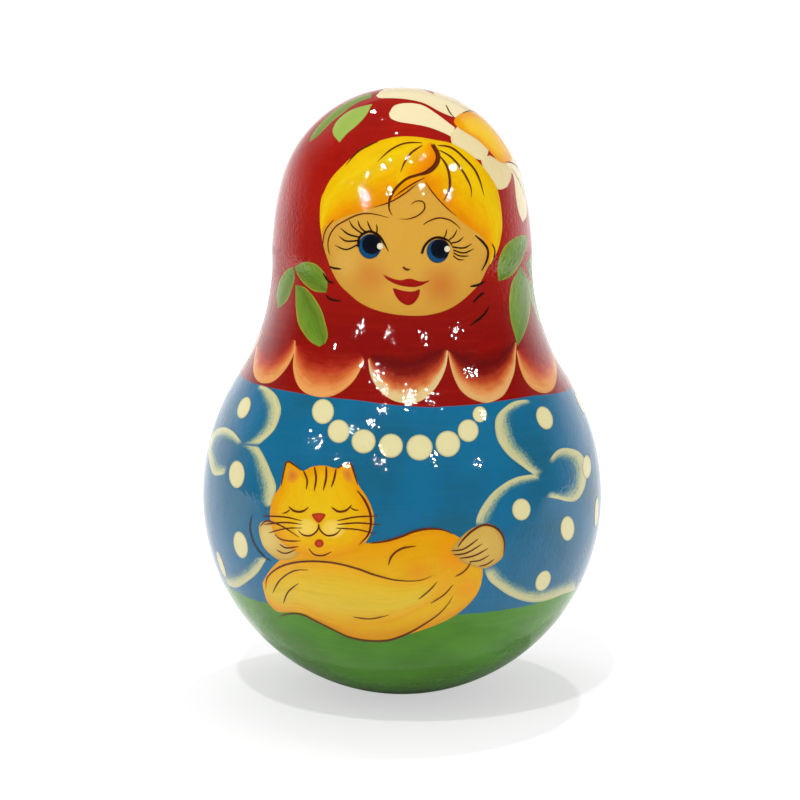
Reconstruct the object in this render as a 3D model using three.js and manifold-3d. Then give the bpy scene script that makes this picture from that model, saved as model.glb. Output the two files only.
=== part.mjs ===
// A round-bottomed wooden doll, turned in two halves, with a ballast and a chime inside.
//
// The doll stands on the belly's low point and rocks. The iron ballast keeps its centre of mass
// below the belly's centre, so it always comes upright. As it rocks, four hammers that hang from
// a carrier swing out and strike eight tuned rods. The upper half lifts off its rabbet.
//
// Millimetres, +Z up, origin at the middle of the small flat foot. The face looks along -Y.

import * as THREE from "three";
import { mergeVertices } from "three/addons/utils/BufferGeometryUtils.js";
import Module from "manifold-3d";

// Outside shape
const bellyRadius = 46;
const footRadius = 5; // the flat that parting off and sanding leave
const shoulderRadius = 51.5;
const neckHeight = 100.3; // where the doll is narrowest, above the floor
const neckRadius = 29.7;
const headHeight = 38.7; // from the neck to the top of the head
const crownTaper = 1.3; // how much rounder the crown is than the neck

// Walls and the rabbet where the halves meet
const lowerWall = 5;
const upperWall = 4.5;
const seamHeight = 73;
const seamLedge = 5.5; // width of the flat ring that the upper half sits on
const spigotHeight = 5;
const spigotWall = 2.2;

// Fits
const looseFit = 0.3;
const smallFit = 0.2;

// Ballast
const ballastSeat = 9; // thickness of the wood under it
const ballastHeight = 11;
const ballastInset = 0.5; // how much narrower it is than the doll's mouth
const ballastChamfer = 1;

// Chime plate and the three screws that hold it and the ballast
const plateInset = 3.5; // how much narrower it is than the doll's mouth
const plateThickness = 2.5;
const screwCircle = 13;
const screwRadius = 1.5;
const screwGrip = 6; // length in the wood
const screwHeadRadius = 3;
const screwHeadHeight = 1.9;
const screwHeadRim = 1.1; // height of the head's straight side
const screwCrownRadius = 2.1;
const screwSlotWidth = 0.8;
const screwSlotDepth = 0.9;

// Chime rods: the length follows the note, as a bar clamped at one end rings at 1 / length squared
const rodInset = 4; // from the plate's rim to the middle of the rods
const rodRadius = 1.5;
const rodRootRadius = 1.1;
const rodNeckRadius = 0.8;
const rodNeckLength = 1.6;
const rodCollarRadius = 2.1;
const rodCollarHeight = 1.8;
const rodTipChamfer = 0.3;
const longestRod = 48;
const scaleSemitones = [0, 2, 4, 5, 7, 9, 11, 12];
const semitonesInOctave = 12;
const rodPairHalfAngle = 10; // degrees either side of the hammer that strikes the pair

// Centre post
const postRadius = 2.5;
const postFlangeRadius = 6;
const postFlangeHeight = 2;
const postStubRadius = 2;
const postStubLength = 9;
const postThreadRadius = 1.5;
const postThreadSpare = 1.2; // thread that shows above the nut
const postHeight = 57.5; // from the plate to the carrier

// Hammer carrier
const carrierRim = 4; // from the middle of the pins out to the edge
const carrierThickness = 4;
const slotSideGap = 0.4; // between a hammer's eye and each side of its slot
const slotEndGap = 1.4; // between a hammer's eye and the inner end of its slot
const washerRadius = 3.6;
const washerThickness = 0.8;
const nutAcrossFlats = 5.5;
const nutThickness = 2.4;

// Hammers
const hammerCount = 4;
const firstHammerAngle = 45; // degrees
const hammerGap = 2.9; // between a hanging head and the post
const pinRadius = 0.8;
const pinLength = 8;
const eyeOuterRadius = 2.1;
const eyeWidth = 2.2;
const wireRadius = 0.8;
const strikeHeight = 23.5; // middle of the heads, above the plate
const headRadius = 3.6;
const headLength = 7;
const headRound = 1;
const wireCollarRadius = 1.5;
const wireCollarLength = 1;

// Sides of the round solids
const shellSides = 48;
const discSides = 40;
const smallSides = 16;
const wireSides = 12;
const ballastSteps = 4; // along the round of the ballast
const arcStep = 7.5; // degrees between points on an arc of the shells' outline
const leastRise = 0.5; // in height between two points of the outline

const rightAngle = Math.PI / 2;
const radians = THREE.MathUtils.degToRad;

const wasm = await Module();
wasm.setup();

// Colours as the eye sees them
const red = new THREE.MeshStandardMaterial({ color: 0xb3241c, roughness: 0.18 });
const blue = new THREE.MeshStandardMaterial({ color: 0x1f6f96, roughness: 0.18 });
const iron = new THREE.MeshStandardMaterial({ color: 0x3b3d40, roughness: 0.7, metalness: 0.8 });
const steel = new THREE.MeshStandardMaterial({ color: 0xb8bcc0, roughness: 0.3, metalness: 1 });
const brass = new THREE.MeshStandardMaterial({ color: 0xc9a24b, roughness: 0.3, metalness: 1 });

// A solid of manifold-3d from a closed three.js geometry.
function solid(geometry) {
  const bare = new THREE.BufferGeometry().setAttribute(
    "position",
    (geometry.index ? geometry.toNonIndexed() : geometry).getAttribute("position"),
  );
  const merged = mergeVertices(bare, 1e-4);
  return new wasm.Manifold(
    new wasm.Mesh({
      numProp: 3,
      vertProperties: merged.attributes.position.array,
      triVerts: new Uint32Array(merged.index.array),
    }),
  );
}

// A three.js geometry from a solid of manifold-3d.
function geometryOf(body) {
  const { vertProperties, triVerts } = body.getMesh();
  const geometry = new THREE.BufferGeometry();
  geometry.setAttribute("position", new THREE.BufferAttribute(vertProperties, 3));
  geometry.setIndex(new THREE.BufferAttribute(triVerts, 1));
  geometry.computeVertexNormals();
  return geometry;
}

function cut(geometry, ...tools) {
  return geometryOf(tools.reduce((body, tool) => body.subtract(solid(tool)), solid(geometry)));
}

function join(geometry, ...others) {
  return geometryOf(others.reduce((body, other) => body.add(solid(other)), solid(geometry)));
}

// A round solid about Z from [radius, height] points that start and end on the axis.
function turned(points, sides) {
  const profile = points.map(([r, z]) => new THREE.Vector2(r, z));
  return new THREE.LatheGeometry(profile, sides).rotateX(rightAngle);
}

// A cylinder about Z between two heights.
function bar(radius, bottom, top, sides) {
  return turned([[0, bottom], [radius, bottom], [radius, top], [0, top]], sides);
}

function box(x0, x1, y0, y1, z0, z1) {
  const made = new THREE.BoxGeometry(x1 - x0, y1 - y0, z1 - z0);
  return made.translate((x0 + x1) / 2, (y0 + y1) / 2, (z0 + z1) / 2);
}

// Turns a geometry about the doll's axis.
function turn(geometry, degrees) {
  return geometry.rotateZ(radians(degrees));
}

function named(name, geometry, material) {
  const mesh = new THREE.Mesh(geometry, material);
  mesh.name = name;
  return mesh;
}

// The outline is five arcs, each tangent to the next: belly, shoulder, neck, cheek and crown.
// The radii of the neck and the cheek follow from the sizes at the top of this file.
const height = neckHeight + headHeight;
const crownRadius = neckRadius - crownTaper;
const bellyCentre = Math.sqrt(bellyRadius ** 2 - footRadius ** 2);
const neckIn = bellyRadius - neckRadius;
const neckUp = neckHeight - bellyCentre;
const shoulderPlusNeck = (neckIn ** 2 + neckUp ** 2) / (2 * neckIn);
const neckArc = shoulderPlusNeck - shoulderRadius;
const neckAngle = Math.asin(neckUp / shoulderPlusNeck);
const crownCentre = height - crownRadius;
const crownUp = crownCentre - neckHeight;
const cheekArc =
  (neckRadius ** 2 + crownUp ** 2 - crownRadius ** 2) / (2 * (neckRadius - crownRadius));
const cheekAngle = Math.atan2(crownUp, cheekArc - neckRadius);

// The arcs of the outline, moved inwards by inset. side is -1 where the arc is hollow.
function outlineArcs(inset) {
  return [
    { r: 0, z: bellyCentre, radius: bellyRadius - inset, from: -rightAngle, to: 0, side: 1 },
    {
      r: bellyRadius - shoulderRadius, z: bellyCentre, radius: shoulderRadius - inset,
      from: 0, to: neckAngle, side: 1,
    },
    {
      r: neckRadius + neckArc, z: neckHeight, radius: neckArc + inset,
      from: -neckAngle, to: 0, side: -1,
    },
    {
      r: neckRadius - cheekArc, z: neckHeight, radius: cheekArc - inset,
      from: 0, to: cheekAngle, side: 1,
    },
    {
      r: 0, z: crownCentre, radius: crownRadius - inset,
      from: cheekAngle, to: rightAngle, side: 1,
    },
  ];
}

// The outline's radius at a height, moved inwards by inset.
function radiusAt(z, inset = 0) {
  const arcs = outlineArcs(inset);
  const arc = arcs.find((a) => z <= a.z + a.radius * Math.sin(a.to)) ?? arcs[arcs.length - 1];
  return arc.r + arc.side * Math.sqrt(Math.max(arc.radius ** 2 - (z - arc.z) ** 2, 0));
}

// [radius, height] points of the outline from one height up to another, moved inwards by inset.
function outline(bottom, top, inset = 0) {
  const points = [[radiusAt(bottom, inset), bottom]];
  for (const arc of outlineArcs(inset)) {
    const steps = Math.max(2, Math.round((arc.to - arc.from) / radians(arcStep)));
    for (let i = 1; i <= steps; i++) {
      const angle = arc.from + ((arc.to - arc.from) * i) / steps;
      const z = arc.z + arc.radius * Math.sin(angle);
      const r = arc.r + arc.side * arc.radius * Math.cos(angle);
      const clear = z > points[points.length - 1][1] + leastRise && z < top - leastRise;
      if (clear) points.push([r, z]);
    }
  }
  return [...points, [radiusAt(top, inset), top]];
}

// Heights and radii that follow
const spigotRadius = radiusAt(seamHeight) - seamLedge;
const mouthRadius = spigotRadius - spigotWall;
const spigotTop = seamHeight + spigotHeight;
const socketRadius = spigotRadius + looseFit;
const socketTop = spigotTop + looseFit;
const cavityRadius = bellyRadius - lowerWall;
const cavityTop = bellyCentre + Math.sqrt(cavityRadius ** 2 - mouthRadius ** 2);
const plateBottom = ballastSeat + ballastHeight;
const plateTop = plateBottom + plateThickness;
const plateRadius = mouthRadius - plateInset;
const rodCircle = plateRadius - rodInset;
const carrierHeight = plateTop + postHeight;
const carrierTop = carrierHeight + carrierThickness;
const pivotHeight = carrierHeight + carrierThickness / 2;
const hammerCircle = postRadius + hammerGap + headRadius;
const carrierRadius = hammerCircle + carrierRim;
const armLength = pivotHeight - plateTop - strikeHeight;
const screwAngles = [90, 210, 330];
const hammerAngles = Array.from(
  { length: hammerCount },
  (_, i) => firstHammerAngle + (360 / hammerCount) * i,
);

// Lower half: a deep cup with a flat seat for the ballast and the spigot of the rabbet on top.
function lowerShell() {
  const outside = outline(0, seamHeight);
  const inside = outline(ballastSeat, Math.min(cavityTop, seamHeight), lowerWall).reverse();
  const cup = turned(
    [
      [0, 0],
      ...outside,
      [spigotRadius, seamHeight],
      [spigotRadius, spigotTop],
      [mouthRadius, spigotTop],
      [mouthRadius, Math.min(cavityTop, seamHeight) + looseFit],
      ...inside,
      [0, ballastSeat],
    ],
    shellSides,
  );
  const pilots = screwAngles.map((angle) =>
    turn(
      bar(screwRadius + smallFit, ballastSeat - screwGrip - looseFit, plateTop, wireSides)
        .translate(screwCircle, 0, 0),
      angle,
    ),
  );
  return cut(cup, ...pilots);
}

// Upper half: the head and shoulders, hollow, with the socket that fits over the spigot.
function upperShell() {
  const outside = outline(seamHeight, height);
  const hollowTop = height - upperWall;
  const inside = outline(socketTop, hollowTop, upperWall).reverse();
  return turned(
    [
      [socketRadius, seamHeight],
      ...outside,
      ...inside,
      [socketRadius, socketTop],
      [socketRadius, seamHeight],
    ],
    shellSides,
  );
}

// Iron ballast: it follows the round of the cup and still passes through the doll's mouth.
function ballast() {
  const roundRadius = cavityRadius - looseFit;
  const roundAt = (z) => Math.sqrt(roundRadius ** 2 - (bellyCentre - z) ** 2);
  const rimTop = plateBottom - ballastChamfer;
  const rim = Math.min(mouthRadius - ballastInset, roundAt(rimTop - looseFit));
  const rimBottom = bellyCentre - Math.sqrt(roundRadius ** 2 - rim ** 2);
  const side = Array.from({ length: ballastSteps + 1 }, (_, i) => {
    const z = ballastSeat + (i / ballastSteps) * (rimBottom - ballastSeat);
    return [roundAt(z), z];
  });
  const body = turned(
    [
      [0, ballastSeat],
      ...side,
      [rim, rimTop],
      [rim - ballastChamfer, plateBottom],
      [0, plateBottom],
    ],
    discSides,
  );
  const stubHole = bar(
    postStubRadius + smallFit, plateTop - postStubLength - looseFit, plateTop, smallSides,
  );
  return cut(body, stubHole, ...screwHoles());
}

// The three holes through the chime plate and the ballast.
function screwHoles() {
  return screwAngles.map((angle) =>
    turn(
      bar(screwRadius + smallFit, 0, plateTop + looseFit, wireSides).translate(screwCircle, 0, 0),
      angle,
    ),
  );
}

// Steel disc that the rods and the post stand on.
function chimePlate() {
  const disc = bar(plateRadius, plateBottom, plateTop, discSides);
  const postHole = bar(postStubRadius + smallFit, 0, plateTop + looseFit, smallSides);
  const rodHoles = rodPlaces().map(({ angle }) =>
    turn(
      bar(rodRootRadius + smallFit, 0, plateTop + looseFit, wireSides).translate(rodCircle, 0, 0),
      angle,
    ),
  );
  return cut(disc, postHole, ...screwHoles(), ...rodHoles);
}

// Pan-head screw with a straight slot, drawn at its place on the axis of its own group.
function baseScrew() {
  const top = plateTop + screwHeadHeight;
  const body = turned(
    [
      [0, ballastSeat - screwGrip],
      [screwRadius, ballastSeat - screwGrip + screwRadius],
      [screwRadius, plateTop],
      [screwHeadRadius, plateTop],
      [screwHeadRadius, plateTop + screwHeadRim],
      [screwCrownRadius, top],
      [0, top],
    ],
    smallSides,
  );
  const slot = box(
    -bellyRadius, bellyRadius, -screwSlotWidth / 2, screwSlotWidth / 2,
    top - screwSlotDepth, top + screwHeadHeight,
  );
  return cut(body, slot);
}

// Where each rod stands: two beside each hammer, the longest first.
function rodPlaces() {
  return scaleSemitones.map((semitones, i) => {
    const side = i % 2 ? 1 : -1;
    const hammer = Math.floor(i / 2) % hammerCount;
    return {
      angle: hammerAngles[hammer] + side * rodPairHalfAngle,
      length: longestRod / Math.sqrt(2 ** (semitones / semitonesInOctave)),
    };
  });
}

// Tuned rod: a root pressed into the plate, a collar, a thin neck that lets it ring, and the bar.
function chimeRod(length) {
  const neckTop = rodCollarHeight + rodNeckLength;
  return turned(
    [
      [0, -plateThickness],
      [rodRootRadius, -plateThickness],
      [rodRootRadius, 0],
      [rodCollarRadius, 0],
      [rodCollarRadius, rodCollarHeight],
      [rodNeckRadius, rodCollarHeight],
      [rodNeckRadius, neckTop],
      [rodRadius, neckTop + rodNeckRadius],
      [rodRadius, length - rodTipChamfer],
      [rodRadius - rodTipChamfer, length],
      [0, length],
    ],
    wireSides,
  );
}

// Centre post: a stub screwed into the ballast, a flange that clamps the plate, and a thread on top.
function centrePost() {
  const nutTop = carrierTop + washerThickness + nutThickness;
  return turned(
    [
      [0, plateTop - postStubLength],
      [postStubRadius, plateTop - postStubLength],
      [postStubRadius, plateTop],
      [postFlangeRadius, plateTop],
      [postFlangeRadius, plateTop + postFlangeHeight],
      [postRadius, plateTop + postFlangeHeight],
      [postRadius, carrierHeight],
      [postThreadRadius, carrierHeight],
      [postThreadRadius, nutTop + postThreadSpare],
      [0, nutTop + postThreadSpare],
    ],
    smallSides,
  );
}

// Disc with a slot for each hammer, and a hole drilled from the rim for each pin.
function hammerCarrier() {
  const slotStart = hammerCircle - eyeOuterRadius - slotEndGap;
  const slotHalfWidth = eyeWidth / 2 + slotSideGap;
  const disc = bar(carrierRadius, carrierHeight, carrierTop, discSides);
  const bore = bar(postThreadRadius + smallFit, 0, height, smallSides);
  const slots = hammerAngles.map((angle) =>
    turn(
      box(slotStart, carrierRadius * 2, -slotHalfWidth, slotHalfWidth, 0, height),
      angle,
    ),
  );
  const pinHoles = hammerAngles.map((angle) =>
    turn(
      lyingBar(pinRadius + smallFit, -pinLength / 2 - smallFit, carrierRadius)
        .translate(hammerCircle, 0, pivotHeight),
      angle,
    ),
  );
  return cut(disc, bore, ...slots, ...pinHoles);
}

// A cylinder about Y, which is how the hammer pins lie in their own groups.
function lyingBar(radius, start, end) {
  return bar(radius, -end, -start, wireSides).rotateX(rightAngle);
}

function washer() {
  return turned(
    [
      [postThreadRadius + smallFit, carrierTop],
      [washerRadius, carrierTop],
      [washerRadius, carrierTop + washerThickness],
      [postThreadRadius + smallFit, carrierTop + washerThickness],
      [postThreadRadius + smallFit, carrierTop],
    ],
    smallSides,
  );
}

function carrierNut() {
  const bottom = carrierTop + washerThickness;
  const hexagon = bar(nutAcrossFlats / Math.sqrt(3), bottom, bottom + nutThickness, 6);
  return cut(hexagon, bar(postThreadRadius + smallFit, 0, height, smallSides));
}

// Hammer wire, drawn about its pivot: the eye, the wire, and the collars that hold the head.
function hammerWire() {
  const eyeInner = pinRadius + smallFit;
  const eye = turned(
    [
      [eyeInner, -eyeWidth / 2],
      [eyeOuterRadius, -eyeWidth / 2],
      [eyeOuterRadius, eyeWidth / 2],
      [eyeInner, eyeWidth / 2],
      [eyeInner, -eyeWidth / 2],
    ],
    smallSides,
  ).rotateX(rightAngle);
  const headTop = -armLength + headLength / 2;
  const headBottom = -armLength - headLength / 2;
  const wireTop = -(eyeInner + eyeOuterRadius) / 2;
  const wire = turned(
    [
      [0, headBottom - wireCollarLength],
      [wireCollarRadius, headBottom - wireCollarLength],
      [wireCollarRadius, headBottom],
      [wireRadius, headBottom],
      [wireRadius, headTop],
      [wireCollarRadius, headTop],
      [wireCollarRadius, headTop + wireCollarLength],
      [wireRadius, headTop + wireCollarLength],
      [wireRadius, wireTop],
      [0, wireTop],
    ],
    wireSides,
  );
  return join(eye, wire);
}

// Brass head with rounded rims, drawn about the pivot like its wire.
function hammerHead() {
  const bore = wireRadius + smallFit;
  const top = -armLength + headLength / 2;
  const bottom = -armLength - headLength / 2;
  const soft = headRound * (1 - Math.SQRT1_2);
  return turned(
    [
      [bore, bottom],
      [headRadius - headRound, bottom],
      [headRadius - soft, bottom + soft],
      [headRadius, bottom + headRound],
      [headRadius, top - headRound],
      [headRadius - soft, top - soft],
      [headRadius - headRound, top],
      [bore, top],
      [bore, bottom],
    ],
    smallSides,
  );
}

const doll = new THREE.Group();
doll.add(
  named("lower_shell", lowerShell(), blue),
  named("upper_shell", upperShell(), red),
  named("ballast", ballast(), iron),
  named("chime_plate", chimePlate(), steel),
  named("centre_post", centrePost(), steel),
  named("hammer_carrier", hammerCarrier(), steel),
  named("carrier_washer", washer(), steel),
  named("carrier_nut", carrierNut(), steel),
);

screwAngles.forEach((angle, i) => {
  const place = new THREE.Group();
  place.rotation.z = radians(angle);
  const screw = named(`base_screw_${i + 1}`, baseScrew(), steel);
  screw.position.x = screwCircle;
  place.add(screw);
  doll.add(place);
});

rodPlaces().forEach(({ angle, length }, i) => {
  const place = new THREE.Group();
  place.rotation.z = radians(angle);
  const rod = named(`chime_rod_${i + 1}`, chimeRod(length), steel);
  rod.position.set(rodCircle, 0, plateTop);
  place.add(rod);
  doll.add(place);
});

hammerAngles.forEach((angle, i) => {
  const place = new THREE.Group();
  place.rotation.z = radians(angle);
  const pivot = new THREE.Group();
  pivot.position.set(hammerCircle, 0, pivotHeight);
  pivot.add(
    named(`hammer_pin_${i + 1}`, lyingBar(pinRadius, -pinLength / 2, pinLength / 2), steel),
    named(`hammer_wire_${i + 1}`, hammerWire(), steel),
    named(`hammer_head_${i + 1}`, hammerHead(), brass),
  );
  place.add(pivot);
  doll.add(place);
});

export default doll;
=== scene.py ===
# %% [markdown]
# A painted wooden roly-poly doll, built around its CAD frame. On the real one the wood is turned in
# two halves, painted by hand and then lacquered. The painting could be one drawn texture round one
# turned shape. Here each motif is a thin skin of paint instead, because a skin keeps a crisp edge
# at any size and can be moved or repainted alone. The chime inside keeps its CAD shapes and gets
# real metals. Lengths are in millimetres until a mesh is made.

import bmesh
import bpy
import numpy as np
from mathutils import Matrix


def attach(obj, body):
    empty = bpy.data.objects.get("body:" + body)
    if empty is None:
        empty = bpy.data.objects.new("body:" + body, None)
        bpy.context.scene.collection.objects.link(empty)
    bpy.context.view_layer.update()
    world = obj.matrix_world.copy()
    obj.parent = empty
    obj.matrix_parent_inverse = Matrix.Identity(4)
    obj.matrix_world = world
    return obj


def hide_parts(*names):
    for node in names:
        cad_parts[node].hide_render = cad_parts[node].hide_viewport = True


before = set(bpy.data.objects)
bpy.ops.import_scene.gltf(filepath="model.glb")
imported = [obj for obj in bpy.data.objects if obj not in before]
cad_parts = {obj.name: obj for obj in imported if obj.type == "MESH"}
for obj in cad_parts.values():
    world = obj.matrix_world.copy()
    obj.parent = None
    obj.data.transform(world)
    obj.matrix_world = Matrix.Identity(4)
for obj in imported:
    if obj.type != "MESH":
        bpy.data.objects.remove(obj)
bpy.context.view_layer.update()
MM = 0.001

# %% [markdown]
# A turner works to one outline, the doll's shape from the side. It could be a spline through many
# measured places, but a lathe leaves long round sweeps, so five arcs that meet without a corner
# give the same line from a few sizes: belly, shoulder, neck, cheek and crown. Each has its centre,
# its radius, its first and last angle, and a side that is -1 where the outline is hollow.

# %% The outline of the doll
BELLY, SHOULDER, HEAD_TOP, SEAM = 46.0, 51.5, 139.0, 73.0
BELLY_HEIGHT, NECK_HEIGHT, NECK_RADIUS, NECK_ARC = 45.7275, 100.3, 29.7, 48.006
CROWN, CHEEK_ARC = 28.4, 69.85
NECK_ANGLE = np.arctan2(NECK_HEIGHT - BELLY_HEIGHT, NECK_RADIUS + NECK_ARC + SHOULDER - BELLY)
CROWN_CENTRE = HEAD_TOP - CROWN
CHEEK_ANGLE = np.arctan2(CROWN_CENTRE - NECK_HEIGHT, CHEEK_ARC - NECK_RADIUS)
QUARTER = np.pi / 2
# centre radius, centre height, arc radius, first angle, last angle, side
ARCS = np.array([
    [0, BELLY_HEIGHT, BELLY, -QUARTER, 0, 1],
    [BELLY - SHOULDER, BELLY_HEIGHT, SHOULDER, 0, NECK_ANGLE, 1],
    [NECK_RADIUS + NECK_ARC, NECK_HEIGHT, NECK_ARC, -NECK_ANGLE, 0, -1],
    [NECK_RADIUS - CHEEK_ARC, NECK_HEIGHT, CHEEK_ARC, 0, CHEEK_ANGLE, 1],
    [0, CROWN_CENTRE, CROWN, CHEEK_ANGLE, QUARTER, 1],
])
WOOD_DEPTH = 0.16  # the bare wood lies this far under the CAD's outline, to leave room for paint
print(len(ARCS), "arcs; the crown's radius is", CROWN, "and its centre is at", CROWN_CENTRE)

# %% [markdown]
# Paint has to follow the wood. One way is to wrap flat pieces round it with a Shrinkwrap modifier.
# With an outline made of arcs there is a simpler one: the nearest place and the outward direction
# have exact formulas, and they are worked out for whole arrays of points at once.

# %% The nearest place and direction


def nearest(points):
    """The nearest point of the outline for each point: its radius, height, outward slope and gap.

    Each arc gives the point at the same angle from its own centre, held between its ends, and the
    arc with the least gap wins.
    """
    r = np.hypot(points[..., 0], points[..., 1])[..., None]
    z = points[..., 2][..., None]
    rc, zc, radius, first, last, side = ARCS.T
    angle = np.clip(np.arctan2(z - zc, side * (r - rc)), first, last)
    foot_r = rc + side * radius * np.cos(angle)
    foot_z = zc + radius * np.sin(angle)
    out_r, out_z = np.cos(angle), side * np.sin(angle)
    gap = np.hypot(r - foot_r, z - foot_z)
    best = np.argmin(gap, axis=-1)[..., None]
    signed = np.sign((r - foot_r) * out_r + (z - foot_z) * out_z) * gap
    return [np.take_along_axis(a, best, -1)[..., 0] for a in (foot_r, foot_z, out_r, out_z, signed)]


def directions(points):
    """The outward direction of the doll's surface at each point, as unit vectors."""
    _, _, out_r, out_z, _ = nearest(points)
    across = np.maximum(np.hypot(points[..., 0], points[..., 1]), 1e-9)
    x, y = points[..., 0] / across, points[..., 1] / across
    return np.stack([x * out_r, y * out_r, out_z], -1)


def pressed(points, lift=0.0):
    """The points moved onto the bare wood, then lifted off it along the surface's direction."""
    foot_r, foot_z, _, _, _ = nearest(points)
    across = np.maximum(np.hypot(points[..., 0], points[..., 1]), 1e-9)
    x, y = points[..., 0] / across, points[..., 1] / across
    foot = np.stack([x * foot_r, y * foot_r, foot_z], -1)
    return foot + directions(points) * (lift - WOOD_DEPTH)


print("outward at the belly's front", directions(np.array([0, -46.0, 46.0])).round(2))

# %% [markdown]
# The lathe also needs the outline as rows of radius and height. Rows at even angles spend more of
# them where the curve is tight, so the crown is as smooth as the belly.

# %% Radii and rows


def radius_at(z, inset):
    """The outline's radius at a height, moved inwards by the inset."""
    arcs = ARCS[:, 2] - ARCS[:, 5] * inset
    tops = ARCS[:, 1] + arcs * np.sin(ARCS[:, 4])
    k = int(np.argmax(z <= tops)) if (z <= tops).any() else len(ARCS) - 1
    reach = np.sqrt(max(arcs[k] ** 2 - (z - ARCS[k, 1]) ** 2, 0))
    return float(ARCS[k, 0] + ARCS[k, 5] * reach)


def outline_rows(low, high, count):
    """[radius, height] rows of the bare wood's outline between two heights, at even angles."""
    rows = []
    for arc in ARCS:
        angles = np.linspace(arc[3], arc[4], max(3, int(count * (arc[4] - arc[3]))))[1:]
        size = arc[2] - arc[5] * WOOD_DEPTH
        rows += list(zip(arc[0] + arc[5] * size * np.cos(angles), arc[1] + size * np.sin(angles)))
    rows = [row for row in rows if low + 0.15 < row[1] < high - 0.15]
    return np.array([[radius_at(low, WOOD_DEPTH), low], *rows, [radius_at(high, WOOD_DEPTH), high]])


print("seam radius", round(radius_at(SEAM, 0), 2), "wood", round(radius_at(SEAM, WOOD_DEPTH), 2))

# %% [markdown]
# Every surface here is worked out as whole numpy arrays, and one function puts them into a mesh. It
# takes vertices in millimetres and faces of three or four corners, with -1 in the last place of a
# triangle. Mesh primitives and their operators would be shorter for one shape, but slow and hard to
# keep exact for hundreds.

# %% From arrays to an object


def object_from(name, verts, faces, places=None, tones=None, parts=None):
    """A mesh object from arrays: vertices, faces, corner places, a tone for each vertex, and the
    number of each face's material."""
    mesh = bpy.data.meshes.new(name)
    corners = faces >= 0
    loops = faces[corners]
    totals = corners.sum(1)
    mesh.vertices.add(len(verts))
    mesh.vertices.foreach_set("co", (verts * MM).ravel())
    mesh.loops.add(len(loops))
    mesh.loops.foreach_set("vertex_index", loops)
    mesh.polygons.add(len(faces))
    mesh.polygons.foreach_set("loop_start", np.concatenate([[0], np.cumsum(totals)[:-1]]))
    if parts is not None:
        mesh.polygons.foreach_set("material_index", parts)
    mesh.update(calc_edges=True)
    mesh.validate()
    if places is not None:
        layer = mesh.uv_layers.new(name="place")
        layer.data.foreach_set("uv", places[corners].ravel())
    if tones is not None:
        mesh.attributes.new("tone", "FLOAT", "POINT").data.foreach_set("value", tones)
    mesh.shade_smooth()
    made = bpy.data.objects.new(name, mesh)
    bpy.context.scene.collection.objects.link(made)
    return made


def grid_faces(ids, places):
    """Faces of a grid of vertex numbers, with a triangle where two corners are one vertex."""
    faces = np.stack([ids[:-1, :-1], ids[1:, :-1], ids[1:, 1:], ids[:-1, 1:]], -1).reshape(-1, 4)
    spots = np.stack([places[:-1, :-1], places[1:, :-1], places[1:, 1:], places[:-1, 1:]], 2)
    spots = spots.reshape(-1, 4, 2)
    pole = faces[:, 0] == faces[:, 1]
    faces[pole] = np.column_stack([faces[pole][:, 1:], np.full(pole.sum(), -1)])
    spots[pole, :3] = spots[pole, 1:]
    end = faces[:, 2] == faces[:, 3]
    faces[end, 3] = -1
    return faces, spots


print("a grid of 3 by 3 places has", len(grid_faces(
    np.arange(9).reshape(3, 3), np.zeros((3, 3, 2)))[0]), "faces")

# %% [markdown]
# The real shells are turned from lime wood. Blender's Screw modifier could spin their profile round
# the axis, but the faces and the directions for shading would then be out of reach. So the profile
# is taken round the axis as arrays, and the painted side gets the outline's true directions, which
# keep the gloss free of facets.

# %% Turning a profile
AROUND, SHARP_ANGLE = 288, 28


def turned(name, rows, painted):
    """A closed turned solid: x is the radius times the cosine of the turn, y the radius times its
    sine, and z the height. The profile's ends on the axis close to one point each. painted tells
    for each profile step whether it carries paint."""
    rows = np.asarray(rows, float)
    angle = np.arange(AROUND + 1) * 2 * np.pi / AROUND
    on_axis = rows[:, 0] < 1e-6
    start = np.concatenate([[0], np.cumsum(np.where(on_axis, 1, AROUND))])
    turn = np.arange(AROUND + 1) % AROUND
    ids = np.where(on_axis[None], start[:-1][None], start[:-1][None] + turn[:, None])
    verts = np.zeros((start[-1], 3))
    x = np.cos(angle)[:, None] * rows[:, 0]
    y = np.sin(angle)[:, None] * rows[:, 0]
    verts[ids] = np.stack([x, y, np.broadcast_to(rows[:, 1], x.shape)], -1)
    steps = np.linspace(0, 1, len(rows))
    places = np.stack(np.broadcast_arrays(angle[:, None] / (2 * np.pi), steps), -1)
    faces, spots = grid_faces(ids, places)
    parts = np.where(np.tile(painted, AROUND), 0, 1)
    return object_from(name, verts, faces, spots, parts=parts)


def soften(made, low, high):
    """Sharp edges where the turning tool changed direction, and the true direction on the paint."""
    mesh = made.data
    mesh.set_sharp_from_angle(angle=np.radians(SHARP_ANGLE))
    spots = np.empty(len(mesh.vertices) * 3)
    mesh.vertices.foreach_get("co", spots)
    true = directions(spots.reshape(-1, 3) / MM)
    normals = np.empty(len(mesh.loops) * 3)
    mesh.corner_normals.foreach_get("vector", normals)
    normals = normals.reshape(-1, 3)
    loops = np.empty(len(mesh.loops), int)
    mesh.loops.foreach_get("vertex_index", loops)
    part = np.empty(len(mesh.polygons), int)
    mesh.polygons.foreach_get("material_index", part)
    sizes = np.empty(len(mesh.polygons), int)
    mesh.polygons.foreach_get("loop_total", sizes)
    height = spots.reshape(-1, 3)[loops, 2] / MM
    outer = (np.repeat(part, sizes) == 0) & (height > low) & (height < high)
    normals[outer] = true[loops[outer]]
    mesh.normals_split_custom_set(normals)


def inner_rows(low, high, wall, count):
    """The hollow's rows: the outline moved inwards by the wall."""
    return [[radius_at(z, wall), z] for z in np.linspace(low, high, count)]


print("profiles are turned in", AROUND, "steps")

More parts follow.
